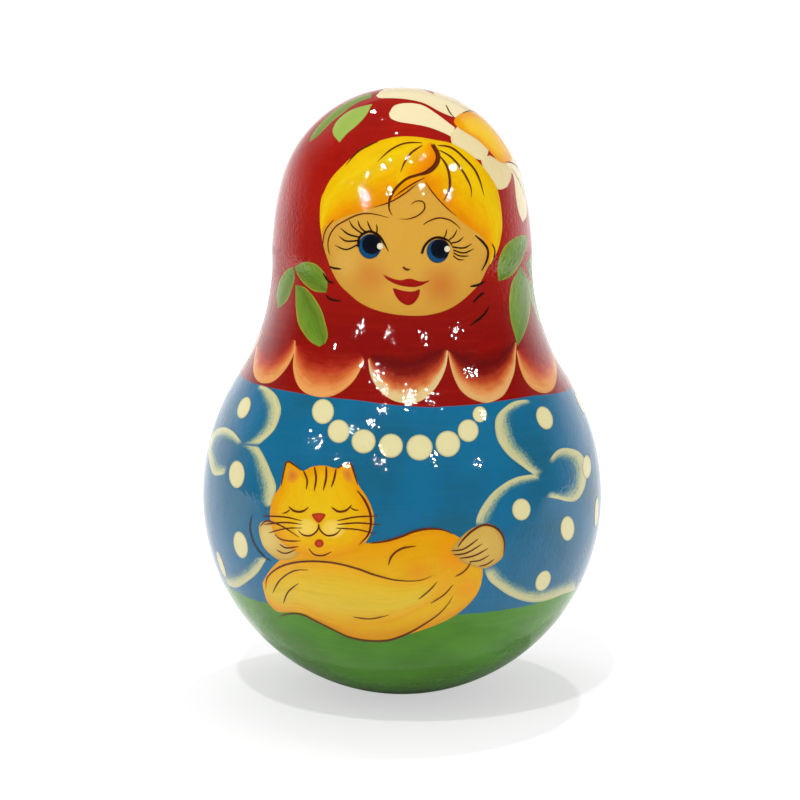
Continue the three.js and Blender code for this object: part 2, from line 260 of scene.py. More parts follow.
# %% [markdown]
# The lower half is a deep cup with a spigot, and the upper half a cap with the matching recess. The
# walls are as thick as a turner leaves them, and small chamfers break the edges that a hand would
# meet. The outside carries paint, and every other face is bare wood.

# %% The two turned shells
LOWER_WALL, UPPER_WALL, SEAM_LEDGE, SPIGOT_HEIGHT, SPIGOT_WALL = 5.0, 4.5, 5.5, 5.0, 2.2
FIT, BALLAST_SEAT, FOOT, FOOT_EDGE = 0.3, 9.0, 5.0, 0.06
NOTCH, CHAMFER, SMALL_CHAMFER, CLOSE = 0.15, 0.4, 0.3, 0.001
FOOT_TOP, OVER_THE_HEAD = 1.2, 200
SPIGOT = radius_at(SEAM, 0) - SEAM_LEDGE
MOUTH = SPIGOT - SPIGOT_WALL
SPIGOT_TOP = SEAM + SPIGOT_HEIGHT

cavity = BELLY - LOWER_WALL
cavity_top = BELLY_HEIGHT + np.sqrt(cavity ** 2 - MOUTH ** 2)
cup_outside = outline_rows(0.4, SEAM, 90)
cup_inside = inner_rows(BALLAST_SEAT, cavity_top, LOWER_WALL, 70)[::-1]
cup = [[0, 0], [FOOT - 0.4, 0], [FOOT, FOOT_EDGE], *cup_outside,
       [SPIGOT + NOTCH, SEAM], [SPIGOT, SEAM + NOTCH],
       [SPIGOT, SPIGOT_TOP - CHAMFER], [SPIGOT - CHAMFER, SPIGOT_TOP],
       [MOUTH + SMALL_CHAMFER, SPIGOT_TOP], [MOUTH, SPIGOT_TOP - SMALL_CHAMFER],
       [MOUTH, cavity_top + FIT], *cup_inside, [0, BALLAST_SEAT]]
cup_paint = np.arange(len(cup) - 1) < len(cup_outside) + 2
lower_shell = turned("lower_shell_turned", cup, cup_paint)
soften(lower_shell, FOOT_TOP, OVER_THE_HEAD)

cap_outside = outline_rows(SEAM, HEAD_TOP - WOOD_DEPTH - CLOSE, 90)
cap_inside = inner_rows(SPIGOT_TOP + FIT, HEAD_TOP - UPPER_WALL, UPPER_WALL, 90)[::-1]
cap_outside[-1, 0] = 0
cap_inside[0][0] = 0
rim = SPIGOT + FIT
cap = [*cap_outside[::-1], [rim + CHAMFER, SEAM], [rim, SEAM + CHAMFER],
       [rim, SPIGOT_TOP + FIT], *cap_inside[::-1]][::-1]
cap_paint = np.arange(len(cap) - 1) >= len(cap) - len(cap_outside)
upper_shell = turned("upper_shell_turned", cap, cap_paint)
soften(upper_shell, 0, OVER_THE_HEAD)
for made, body in ((lower_shell, "lower"), (upper_shell, "upper")):
    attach(made, body)
    print(made.name, len(made.data.polygons), "faces")
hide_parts("lower_shell")
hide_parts("upper_shell")

# %% [markdown]
# The camera's height and the doll's size in the picture were fitted to the outline. The outline
# says little about the lens, so a long one was chosen, and the camera's distance follows from it.
# A tilted camera and a small shift frame the doll as the picture does.

# %% The camera
PICTURE, FOCAL, CENTRE_X, CENTRE_Y = 800.0, 2200.0, 402.0, 392.15
LOOK_HEIGHT, DISTANCE, ELEVATION = 69.5, 504.7, np.radians(8.627)
EYE = np.array([0, -DISTANCE * np.cos(ELEVATION), LOOK_HEIGHT + DISTANCE * np.sin(ELEVATION)])
AHEAD = np.array([0, np.cos(ELEVATION), -np.sin(ELEVATION)])
UP = np.array([0, np.sin(ELEVATION), np.cos(ELEVATION)])

lens = bpy.data.cameras.new("camera")
lens.sensor_width = 36.0
lens.lens = lens.sensor_width * FOCAL / PICTURE
lens.shift_x = (PICTURE / 2 - CENTRE_X) / PICTURE
lens.shift_y = (CENTRE_Y - PICTURE / 2) / PICTURE
lens.clip_start = 0.01
lens.clip_end = 20
camera = bpy.data.objects.new("camera", lens)
camera.location = EYE * MM
camera.rotation_euler = (np.pi / 2 - ELEVATION, 0, 0)
bpy.context.scene.collection.objects.link(camera)
bpy.context.scene.camera = camera
bpy.context.scene.view_settings.view_transform = "Standard"
print("lens", round(lens.lens, 2), "mm, eye", EYE.round(1))

# %% [markdown]
# The same numbers turn a place in the picture into a place on the doll. So each motif is drawn once,
# where it is seen, and still lies on the wood from every other side. A painter's template works
# in the same way. The ray is walked along in steps instead of solved, because the doll is made
# of five arcs.

# %% From the picture to the doll
RAY_STEPS, RAY_START, RAY_SHARE, RAY_LONGEST = 90, 90.0, 0.95, 20


def seen(spots):
    """Where the camera's ray through each picture place meets the doll.

    The ray goes on by its gap to the surface until the gap is gone. A ray that misses is kept at
    the place where it passed nearest, so a mark at the doll's edge stays on its edge.
    """
    spots = np.asarray(spots, float)
    ray = (AHEAD * FOCAL + np.multiply.outer(spots[:, 0] - CENTRE_X, [1.0, 0, 0])
           - np.multiply.outer(spots[:, 1] - CENTRE_Y, UP))
    ray /= np.linalg.norm(ray, axis=1)[:, None]
    along = np.full(len(spots), DISTANCE - RAY_START)
    best, where = np.full(len(spots), 1e9), EYE + ray * along[:, None]
    for _ in range(RAY_STEPS):
        points = EYE + ray * along[:, None]
        gap = nearest(points)[4]
        closer = gap < best
        best[closer] = gap[closer]
        where[closer] = points[closer]
        along += np.clip(gap, 0, RAY_LONGEST) * RAY_SHARE
    return pressed(where)


print("middle of the picture", seen([[402, 392]])[0].round(1))

# %% [markdown]
# Materials are trees of nodes, and writing them out by hand takes many lines. One small function
# makes a node, sets it up and links it, and the rest of the file is built with it.

# %% A node in one line
WHITE = (1.0, 1.0, 1.0, 1.0)
BLACK = (0.0, 0.0, 0.0, 1.0)


def add(tree, kind, sockets=None, **settings):
    """A new node with its settings; each named socket gets a value, or a link if it is a socket."""
    made = tree.nodes.new(kind)
    for key, value in settings.items():
        setattr(made, key, value)
    for key, value in (sockets or {}).items():
        if isinstance(value, bpy.types.NodeSocket):
            tree.links.new(value, made.inputs[key])
        else:
            made.inputs[key].default_value = value
    return made


def stage_material(name):
    """A new material for the stage, with its tree, its shader and a node that knows the ray."""
    made = bpy.data.materials.new(name)
    made.use_nodes = True
    tree = made.node_tree
    return made, tree, tree.nodes["Principled BSDF"], add(tree, "ShaderNodeLightPath")


print("node helpers ready")

# %% [markdown]
# The doll stands on pale paper. Truly white paper would throw so much light up that it would wash
# out the doll's colours. So for the light the paper is a mid grey. The camera sees a darker one
# still, lifted back to white by a glow of its own, and that keeps the shadows on it pale. The gloss
# sees it dark in front of the doll, where a real room has no light on the table.

# %% The floor
FLOOR_WHITE, FLOOR_SHOWN = 0.48, 0.25
FLOOR_LIFT, LIFT_NEAR, LIFT_FAR = 0.55, 0.12, 0.5
GLOSS_GREY, GLOSS_FRONT, GLOSS_BACK = 0.06, -0.18, 0.06
FLOOR_HALF, PAPER_ROUGH = 3000.0, 0.9
floor = object_from(
    "floor", np.array([[-1, -1, 0], [1, -1, 0], [1, 1, 0], [-1, 1, 0.0]]) * FLOOR_HALF,
    np.array([[0, 1, 2, 3]]))
paper, tree, face, path = stage_material("floor_paper")
deep = add(tree, "ShaderNodeSeparateXYZ", {0: add(tree, "ShaderNodeTexCoord").outputs["Object"]})
beside = add(tree, "ShaderNodeMapRange", {
    "Value": deep.outputs["Y"], "From Min": GLOSS_FRONT, "From Max": GLOSS_BACK,
    "To Min": GLOSS_GREY, "To Max": FLOOR_WHITE}, interpolation_type="SMOOTHSTEP")
share = add(tree, "ShaderNodeMix", {
    0: path.outputs["Is Glossy Ray"], 2: FLOOR_WHITE, 3: beside.outputs[0]}, data_type="FLOAT")
share = add(tree, "ShaderNodeMix", {
    0: path.outputs["Is Camera Ray"], 2: share.outputs[0], 3: FLOOR_SHOWN}, data_type="FLOAT")
grey = add(tree, "ShaderNodeCombineColor", {k: share.outputs[0] for k in range(3)})
tree.links.new(grey.outputs[0], face.inputs["Base Color"])
# The glow is weaker near the doll and rises to full far from it: painted light that whitens the far
# paper where the backdrop's shadow falls.
reach = add(tree, "ShaderNodeVectorMath", {
    0: add(tree, "ShaderNodeTexCoord").outputs["Object"]}, operation="LENGTH")
rise = add(tree, "ShaderNodeMapRange", {
    "Value": reach.outputs["Value"], "From Min": LIFT_NEAR, "From Max": LIFT_FAR,
    "To Min": FLOOR_LIFT, "To Max": 1.0})
lift = add(tree, "ShaderNodeMath", {0: path.outputs["Is Camera Ray"], 1: rise.outputs[0]},
           operation="MULTIPLY")
tree.links.new(lift.outputs[0], face.inputs["Emission Strength"])
face.inputs["Emission Color"].default_value = WHITE
face.inputs["Roughness"].default_value = PAPER_ROUGH
face.inputs["Specular IOR Level"].default_value = 0.0
floor.data.materials.append(paper)
print("floor", floor.dimensions[:2], "m")

# %% [markdown]
# A white sheet stands in a half circle behind the doll, as in a small photo tent. Only the gloss
# sees how it dims towards its ends and its top. All other light gets the room's even level from it,
# which shows every paint as it is mixed, and the camera sees it plain white. A flat white world
# would do for the light, but then lacquer would have nothing to reflect and look like plastic.

# %% The backdrop and the room
ROOM, ROOM_IN_GLOSS, BEHIND = 1.2, 0.07, 1.05
SHEET_STEPS, SHEET_REACH, SHEET_HIGH, SHEET_FIRST, SHEET_LAST = 40, 1500, 1600, -24, 204
turn = np.radians(np.linspace(SHEET_FIRST, SHEET_LAST, SHEET_STEPS))
foot_line = np.stack([np.cos(turn), np.sin(turn), 0 * turn], -1) * SHEET_REACH
sheet_grid = np.stack([foot_line, foot_line + [0, 0, SHEET_HIGH]], 1)
sheet_ids = np.arange(2 * SHEET_STEPS).reshape(SHEET_STEPS, 2)
sheet_faces, _ = grid_faces(sheet_ids, np.zeros((SHEET_STEPS, 2, 2)))
sheet = object_from("backdrop", sheet_grid.reshape(-1, 3), sheet_faces)
cloth, tree, face, path = stage_material("backdrop_white")
deep = add(tree, "ShaderNodeSeparateXYZ", {0: add(tree, "ShaderNodeTexCoord").outputs["Object"]})
glow = add(tree, "ShaderNodeMapRange", {
    "Value": deep.outputs["Y"], "From Min": 0.0, "From Max": 1.2, "To Min": 0.1, "To Max": 1.3},
    interpolation_type="SMOOTHSTEP")
high = add(tree, "ShaderNodeMapRange", {
    "Value": deep.outputs["Z"], "From Min": 0.15, "From Max": 0.9, "To Min": 1.0, "To Max": 0.3},
    interpolation_type="SMOOTHSTEP")
glow = add(tree, "ShaderNodeMath", {0: glow.outputs[0], 1: high.outputs[0]}, operation="MULTIPLY")
shown = add(tree, "ShaderNodeMix", {
    0: path.outputs["Is Glossy Ray"], 2: ROOM, 3: glow.outputs[0]}, data_type="FLOAT")
power = add(tree, "ShaderNodeMix", {
    0: path.outputs["Is Camera Ray"], 2: shown.outputs[0], 3: BEHIND}, data_type="FLOAT")
tree.links.new(power.outputs[0], face.inputs["Emission Strength"])
face.inputs["Emission Color"].default_value = WHITE
face.inputs["Base Color"].default_value = BLACK
face.inputs["Specular IOR Level"].default_value = 0.0
sheet.data.materials.append(cloth)

world = bpy.data.worlds.new("surroundings")
bpy.context.scene.world = world
world.use_nodes = True
sky = world.node_tree
sky.nodes.clear()
path = add(sky, "ShaderNodeLightPath")
level = add(sky, "ShaderNodeMapRange", {
    "Value": path.outputs["Is Glossy Ray"], "To Min": ROOM, "To Max": ROOM_IN_GLOSS})
room = add(sky, "ShaderNodeBackground", {"Color": WHITE, "Strength": level.outputs[0]})
backdrop = add(sky, "ShaderNodeBackground", {"Color": WHITE, "Strength": BEHIND})
both = add(sky, "ShaderNodeMixShader", {
    0: path.outputs["Is Camera Ray"], 1: room.outputs[0], 2: backdrop.outputs[0]})
add(sky, "ShaderNodeOutputWorld", {"Surface": both.outputs[0]})
print("room", ROOM, "and", ROOM_IN_GLOSS, "in the gloss")

# %% [markdown]
# Three soft lamps give the colours their form. Lacquer shows every bulb and window as a spark, and
# ripples in it break each spark into several: so there are many tiny lamps, which only the gloss
# sees. The photograph's two overlapping shadows come from two crisp lamps that fall on the paper
# alone, because on the doll they would be too bright. Light linking does that.

# %% The lamps


def lamp(name, turn, rise, wide, power, glint=False):
    """A far lamp at an angle round the doll, 0 being the camera's side, and an angle up. A glint
    lamp shows only in the gloss, and the others light the colours."""
    light = bpy.data.lights.new(name, "SUN")
    light.angle = np.radians(wide)
    light.energy = power
    made = bpy.data.objects.new(name, light)
    made.rotation_euler = (QUARTER - np.radians(rise), 0, np.radians(turn))
    made.visible_diffuse = not glint
    made.visible_glossy = glint
    bpy.context.scene.collection.objects.link(made)
    return made


lamp("lamp_top", -150, 78, 16, 0.55)
lamp("lamp_back", -135, 58, 14, 0.22)
lamp("lamp_front", -35, 48, 26, 0.35)
on_floor = bpy.data.collections.new("floor_only")
on_floor.objects.link(floor)
for made in (lamp("floor_lamp_front", -15, 62, 2.4, 2.0),
             lamp("floor_lamp_back", 151, 77, 2.4, 1.6)):
    made.light_linking.receiver_collection = on_floor
# turn and rise of each glint, in degrees
GLINTS = [(-16, 52), (8, 55), (26, 54), (-36, 38), (62, 39), (-87, 34), (-40, 24), (20, 26),
          (-58, 27), (-12, 25), (46, 21), (-131, 74), (94, 29), (-150, 60), (-20, 80), (-34, 20),
          (-22, 44)]
GLINT_WIDTHS, GLINT_POWERS = (1.0, 1.4, 0.8), (0.2, 0.32, 0.14)
for k, (turn, rise) in enumerate(GLINTS):
    lamp(f"glint_{k}", turn, rise, GLINT_WIDTHS[k % 3], GLINT_POWERS[k % 3], glint=True)
print("lamps:", len(bpy.data.lights))

# %% [markdown]
# Painting starts with lines. A painter's line is one smooth pull of the brush through a few places
# that the eye aims for. A Bezier curve object would need handles for each. A Catmull-Rom curve
# needs only the places themselves, and it works on the doll's surface as well as on paper.

# %% Lines on the surface
PIXEL = 0.2294  # one place of the picture, in millimetres at the doll


def smooth(points, count, closed=False):
    """A Catmull-Rom curve through the points, with its count of places evenly spaced along it."""
    p = np.asarray(points, float)
    p = np.vstack([p[-1:], p, p[:2]]) if closed else np.vstack(
        [2 * p[:1] - p[1:2], p, 2 * p[-1:] - p[-2:-1]])
    t = np.linspace(0, 1, 17)[:-1, None, None]
    a, b, c, d = p[:-3], p[1:-2], p[2:-1], p[3:]
    parts = 0.5 * (2 * b + (c - a) * t + (2 * a - 5 * b + 4 * c - d) * t ** 2
                   + (3 * b - a - 3 * c + d) * t ** 3)
    fine = np.vstack([parts.transpose(1, 0, 2).reshape(-1, p.shape[1]), p[-2:-1]])
    gone = np.concatenate([[0], np.cumsum(np.linalg.norm(np.diff(fine, axis=0), axis=1))])
    stops = np.linspace(0, gone[-1], count)
    return np.stack([np.interp(stops, gone, fine[:, k]) for k in range(fine.shape[1])], -1)


def length(points):
    """The length of a chain of places."""
    return float(np.linalg.norm(np.diff(points, axis=0), axis=1).sum())


def around(places):
    """Places given by their angle round the doll, 0 at the face, and their height."""
    angle, height = np.radians(np.asarray(places, float).T[0]), np.asarray(places, float).T[1]
    return pressed(np.stack([np.sin(angle) * 35, -np.cos(angle) * 35, height], -1))


def swung(points, degrees, slope=0.0):
    """Points carried round the axis, and down by the slope times their way to the right."""
    a = np.radians(degrees)
    x = points[..., 0] * np.cos(a) - points[..., 1] * np.sin(a)
    y = points[..., 0] * np.sin(a) + points[..., 1] * np.cos(a)
    return np.stack([x, y, points[..., 2] - slope * (x - points[..., 0])], -1)


print("a line of three places, smoothed:", smooth([(0, 0), (1, 1), (2, 0)], 5).round(2).tolist())

# %% [markdown]
# Paint has a thickness, and one coat lies over another. Each patch is a closed skin: its top follows
# the wood at the height of its layer, its back lies inside the wood, and a narrow rim joins the two.
# A flat sheet would be simpler, but two sheets at one height flicker through each other, and an open
# sheet isn't a solid that another program can use.

# %% A skin of paint
LAYER, BACK = 0.018, -0.05
SKINS = {}


def skin(paint, grid, layer, tone=0.0, polar=False):
    """Adds one closed skin over a grid of places. In a polar grid the first column is one place
    and the rows go once round it."""
    rows, columns = grid.shape[:2]
    i, j = np.meshgrid(np.arange(rows), np.arange(columns), indexing="ij")
    places = np.stack([i / (rows - 1), j / (columns - 1)], -1)
    if polar:
        ids = np.where(j == 0, 0, (i % (rows - 1)) * (columns - 1) + j)
        points = np.vstack([grid[:1, 0], grid[:-1, 1:].reshape(-1, 3)])
    else:
        ids = i * columns + j
        points = grid.reshape(-1, 3)
    # The grid is turned over where its top would face into the wood.
    k, m = rows // 2, columns // 2
    turn = np.cross(grid[min(k + 1, rows - 1), m] - grid[k - 1, m], grid[k, -1] - grid[k, 0])
    if np.dot(turn, directions(grid[k, m])) < 0:
        ids, places = ids[::-1], places[::-1]
    top, spots = grid_faces(ids, places)
    # The back has the same faces, the other way round.
    flip = np.where(top[:, 3:] < 0, [[2, 1, 0, 3]], [[3, 2, 1, 0]])
    under = np.take_along_axis(np.where(top < 0, -1 - len(points), top), flip, 1) + len(points)
    under_spots = np.take_along_axis(spots, flip[..., None], 1)
    # The rim goes once along the patch's edge.
    if polar:
        loop, marks = ids[:, -1], places[:, -1]
    else:
        loop = np.concatenate([ids[:-1, 0], ids[-1, :-1], ids[:0:-1, -1], ids[0, ::-1]])
        marks = np.concatenate(
            [places[:-1, 0], places[-1, :-1], places[:0:-1, -1], places[0, ::-1]])
    a, b = loop[:-1], loop[1:]
    rim = np.stack([a + len(points), b + len(points), b, a], -1)
    rim_spots = np.stack([marks[:-1], marks[1:], marks[1:], marks[:-1]], 1)
    if polar:
        rim, rim_spots = rim[:, ::-1], rim_spots[:, ::-1]
    verts = np.vstack([pressed(points, layer * LAYER), pressed(points, BACK)])
    SKINS.setdefault(paint, []).append((
        verts, np.vstack([top, under, rim]), np.concatenate([spots, under_spots, rim_spots]),
        np.full(len(verts), tone)))


print("one layer of paint is", LAYER, "mm")

# %% [markdown]
# Three kinds of patch are enough for the whole doll: one ruled between two lines, such as a leaf,
# one that fills a ring, such as a bead, and a brush stroke that swells and tapers along a line. All
# three are grids of places, so one function can close them.

# %% Patches and strokes
SHORTEST, STROKE_STEP, PRESS_IN, LIFT_OUT = 0.08, 0.45, 0.22, 0.3


def ruled(paint, first, second, layer, tone=0.0, columns=0, fine=0.7):
    """A patch between two lines: every row runs straight from the first line to the second, and
    where they meet it keeps the least width."""
    rows = max(6, int(max(length(first), length(second)) / fine))
    a, b = smooth(first, rows), smooth(second, rows)
    wide = b - a
    size = np.linalg.norm(wide, axis=1)
    good = np.flatnonzero(size > SHORTEST)
    close = good[np.abs(good[None] - np.arange(rows)[:, None]).argmin(1)]
    least = wide[close] / size[close][:, None] * SHORTEST
    wide = np.where((size > SHORTEST)[:, None], wide, least)
    columns = columns or max(3, int(size.max() / fine) + 1)
    part = np.linspace(0, 1, columns)[None, :, None]
    skin(paint, a[:, None] + wide[:, None] * part, layer, tone)


def blob(paint, ring, layer, tone=0.0, fine=0.9):
    """A patch inside a ring: every row runs straight from the middle to the ring."""
    rows = max(20, int(length(ring) / fine))
    edge = smooth(ring, rows + 1, closed=True)
    edge[-1] = edge[0]
    middle = edge[:-1].mean(0)
    reach = np.linalg.norm(edge - middle, axis=1).max()
    part = np.linspace(0, 1, max(4, int(reach / fine) + 1))[None, :, None]
    skin(paint, middle + (edge - middle)[:, None] * part, layer, tone, polar=True)


def stroke(paint, line, width, layer, tone=0.0, ends=(0.35, 0.15)):
    """A brush stroke along a line: a band that swells over its first fifth and thins over
    its last third, to the shares of its width that ends gives."""
    rows = max(7, int(length(line) / STROKE_STEP))
    middle = pressed(smooth(line, rows))
    along = np.gradient(middle, axis=0)
    side = np.cross(directions(middle), along)
    side /= np.maximum(np.linalg.norm(side, axis=1), 1e-9)[:, None]
    t = np.linspace(0, 1, rows)
    press = np.minimum(1, ends[0] + (1 - ends[0]) * t / PRESS_IN)
    press = np.minimum(press, ends[1] + (1 - ends[1]) * (1 - t) / LIFT_OUT)
    half = (width * press / 2)[:, None, None] * np.array([-1, 0, 1.0])[None, :, None]
    skin(paint, middle[:, None] + side[:, None] * half, layer, tone)


def oval(x, y, across, high, lean=0.0):
    """A ring of picture places round a centre, leaning clockwise by an angle in degrees."""
    t = np.linspace(0, 2 * np.pi, 25)[:-1]
    a = np.radians(lean)
    u, v = across * np.cos(t), high * np.sin(t)
    return seen(np.stack([x + u * np.cos(a) - v * np.sin(a), y + u * np.sin(a) + v * np.cos(a)], -1))


def lines(paint, layer, *drawn, ends=(0.35, 0.15)):
    """Several strokes in one paint, each given as its width in picture places and its places."""
    for k, (width, *places) in enumerate(drawn):
        stroke(paint, seen(places), width * PIXEL, layer, tone=(k * 0.37) % 1, ends=ends)


print("patches are ruled, filled or stroked")

# %% [markdown]
# The shawl's edge has five scallops as seen, and seven more are guessed round the back at the same
# pitch. The painter loads one side of the brush with cream and turns it, so each crescent is bright
# along its lower rim and fades upwards into the red. Here that is one patch between a lower and an
# upper line, and its paint does the fading.

# %% Scallops
HEM_HEIGHT, HEM_SLOPE = 72.93, 0.0405
scallops = [
    ([(256, 346), (253, 362), (253, 373), (257, 380.5), (263, 383), (272, 381.5), (281, 374),
      (289, 363), (294.5, 350), (295, 341)],
     [(259, 343), (261, 341), (265, 340), (270, 340), (276, 340), (281, 339), (287, 338),
      (292, 338)]),
    ([(294.5, 347), (292.5, 364), (294.5, 378), (300, 388.5), (309, 394.5), (323, 397),
      (335, 394.5), (347, 387), (356, 377), (364, 361)],
     [(297, 343), (303, 342), (311, 342), (320, 342), (331, 343), (342, 344), (352, 347),
      (361, 352)]),
    ([(368, 360), (370, 373.5), (375.5, 385), (383.5, 394), (394, 400.5), (406.5, 403.5),
      (411, 403.5), (422, 400), (432, 392), (440, 381), (446, 367), (448.5, 351)],
     [(371, 354), (378, 350), (387, 347), (397, 346), (408, 345), (420, 345), (432, 346),
      (443, 348)]),
    ([(448.5, 353), (451, 367), (455, 379), (461, 390), (471, 398), (485, 402.5), (496, 400),
      (505, 393.5), (511.6, 380.5), (515.5, 367), (517, 343)],
     [(451, 349), (458, 347), (466, 346), (475, 346), (485, 345), (495, 344), (505, 342),
      (514, 340)]),
    ([(517, 351), (520, 366), (525, 379), (532, 387.5), (540, 392), (548, 392.5), (554, 388),
      (557, 379), (557, 367), (554.5, 356)],
     [(519, 348), (524, 345), (530, 343), (536, 342), (542, 341), (548, 341), (552, 341)]),
]
shapes = [(seen(low), seen(high)) for low, high in scallops]
for k, (low, high) in enumerate(shapes):
    paint_name = "scallop_dark" if k in (2, 3) else "scallop_edge"
    ruled(paint_name, low, high, 1, tone=(0.45, 0.35, 1.0, 0.6, 0.4)[k], columns=30)
FIRST_HIDDEN, PITCH, HIDDEN = 93.0, 28.8, 7
middle_low, middle_high = shapes[2]
for k in range(HIDDEN):
    degrees = FIRST_HIDDEN + PITCH * k
    ruled("scallop_dark" if k % 3 == 1 else "scallop_edge", swung(middle_low, degrees, HEM_SLOPE),
          swung(middle_high, degrees, HEM_SLOPE), 1, tone=(0.6, 0.9, 0.4)[k % 3], columns=30)
print(len(SKINS["scallop_edge"]) + len(SKINS["scallop_dark"]), "scallops")

# %% [markdown]
# Beads and dots are usually pressed on with the end of a round stick dipped in paint. A cut-out
# circle from a texture would smear where the belly turns away. So each is a ring of places filled
# from its middle: an oval in the picture, or, round the back, an angle round the doll and a height.

# %% Beads and dots
beads = [(322.7, 411.3, 11.2, 12.8), (338.5, 431.1, 11.2, 11.9), (363.4, 441.2, 12.3, 12.3),
         (390.9, 445.6, 12.3, 12.3), (419.6, 447.4, 13.4, 13.2), (448, 443.7, 12.6, 13.4),
         (468.4, 430.5, 10.6, 11.5), (480, 414.1, 7.3, 8.2)]
dots = [(243.5, 407.5, 6.0, 11.5, 20), (236.3, 474.3, 8, 14, 0), (240.2, 545, 6.9, 14, -12),
        (545, 417.7, 8, 12.2, -20), (587.4, 466.8, 4.2, 12, 0), (521.7, 509.5, 9.4, 11.2, 0),
        (568, 528.5, 7, 12.6, 0), (543.5, 581, 7, 11, 25)]
for k, spot in enumerate(beads):
    blob("cream_dot", oval(*spot), 2, tone=k * 0.29 % 1)
for k, spot in enumerate(dots):
    blob("cream_dot", oval(*spot), 2, tone=k * 0.41 % 1)


def dab(degrees, height, across, high):
    """A ring of places round the doll, given by its middle and its half sizes in millimetres."""
    t = np.linspace(0, 2 * np.pi, 25)[:-1]
    middle = around([(degrees, height)])[0]
    reach = np.hypot(middle[0], middle[1])
    return around(np.stack([degrees + np.degrees(across / reach) * np.cos(t),
                            height + high * np.sin(t)], -1))


HIDDEN_DOTS = [(81, 65.2), (73, 44.6), (-67, 35.6), (99, 66), (104, 52), (92, 40), (118, 60),
               (121, 44), (-97, 64), (-92, 49), (-103, 38), (-116, 57), (-121, 44)]
for degrees, height in HIDDEN_DOTS:
    blob("cream_dot", dab(degrees, height, 2.0, 2.7), 2, tone=abs(degrees) * 0.13 % 1)
print(len(SKINS["cream_dot"]), "beads and dots")

# %% [markdown]
# The sleeves are only hinted at: dry strokes of cream, bright along one side and fading into the
# blue along the other. A transparent edge could do that, but the export keeps a solid one better. So
# the patch is wide, and its far side has exactly the colour of the ground.

# %% Sleeves
sleeves = [
    ([(257, 385), (264, 386), (271, 390), (277, 397), (280.5, 408), (278.5, 419.5), (272, 432),
      (257, 446)],
     [(256, 390), (260, 391), (263, 398), (266, 408), (265, 419.5), (259, 431), (249, 440),
      (240, 444)]),
    ([(226, 474), (213.5, 475), (209, 464), (208, 447), (212.5, 433), (221.5, 427),
      (232, 431), (243, 444)],
     [(228, 466), (219, 463), (216, 456), (215, 447), (217, 441), (221.5, 437), (229, 440),
      (238, 446)]),
    ([(257, 445), (263, 455), (269, 468), (275.5, 485.5), (273, 498), (269, 508)],
     [(240, 444), (250, 452.5), (254, 467), (258, 481), (260, 497), (264, 508)]),
    ([(268, 556), (258, 572), (248, 581), (236, 588), (226, 584)],
     [(256, 556), (248, 566), (240, 572), (232, 575), (222, 573)]),
    ([(530, 399), (515, 401), (504, 408), (496.5, 417), (495.6, 429.5), (499, 442), (509, 455.5),
      (525, 468), (539, 478)],
     [(533, 402), (521, 407), (513, 413), (511, 421), (513, 432), (518, 443), (527, 454),
      (536, 464), (545, 472)]),
    ([(548, 462), (558, 450), (569, 448), (580, 452), (586.6, 462.5), (587, 478), (584, 491),
      (577, 500.5), (568, 501.5), (558, 499), (545, 497)],
     [(552, 465), (559, 459), (566, 461), (571, 468), (572, 477), (571, 484), (569, 489),
      (566, 492), (563, 493), (557, 492), (548, 492)]),
    ([(541, 474), (527.5, 475), (516, 477.5), (504.5, 483.5), (492, 493.5), (482, 507),
      (477, 518), (476, 527)],
     [(541, 480), (524, 484), (513, 489), (504, 498), (497, 507), (492, 515), (489, 521),
      (487, 527)]),
    ([(483, 566), (489, 580), (498, 588), (509, 595.5), (523, 601), (536, 602.7), (550, 600),
      (565, 594), (577, 589)],
     [(496, 564), (503, 574), (513, 582), (522, 586), (533, 589), (546, 588), (556, 585),
      (566, 581), (575, 576)]),
]
FAINT_REACH = 1.4
for k, (bright, faint) in enumerate(sleeves):
    bright, faint = np.array(bright, float), np.array(faint, float)
    far = bright + (faint - bright) * FAINT_REACH
    ruled("sleeve_edge", seen(bright), seen(far), 0.8, tone=k * 0.27 % 1, columns=14)
hidden_sleeves = [
    ([(-80, 69.4), (-88, 69.8), (-100, 68), (-112, 62), (-118, 54), (-117, 46)],
     [(-80, 66.5), (-88, 66.6), (-98, 65), (-108, 60), (-112, 53), (-112, 47)]),
    ([(-74, 29.5), (-88, 27.5), (-102, 28.5), (-112, 33), (-117, 39), (-117, 46)],
     [(-76, 32.5), (-88, 31), (-100, 32), (-108, 36), (-112, 41), (-113, 46)]),
    ([(80, 69.6), (86, 69.8), (94, 68.8), (108, 63), (116, 55), (117, 46)],
     [(80, 66.4), (86, 66.6), (92, 65.8), (104, 60), (110, 54), (112, 47)]),
    ([(72, 31), (88, 28.5), (102, 30), (112, 35), (117, 41), (117, 46)],
     [(74, 34), (88, 32), (100, 34), (107, 38), (111, 42), (112, 46)]),
]
for k, (bright, faint) in enumerate(hidden_sleeves):
    ruled("sleeve_edge", around(bright), around(faint), 0.6, tone=k * 0.33 % 1, columns=12)
print(len(SKINS["sleeve_edge"]), "dry strokes")

# %% [markdown]
# The daisy on the shawl is a common one of such painting: each petal is one fat stroke of cream.
# They lie on layers of their own, because they overlap. The petals beyond the picture are worked
# out round the flower's middle instead.

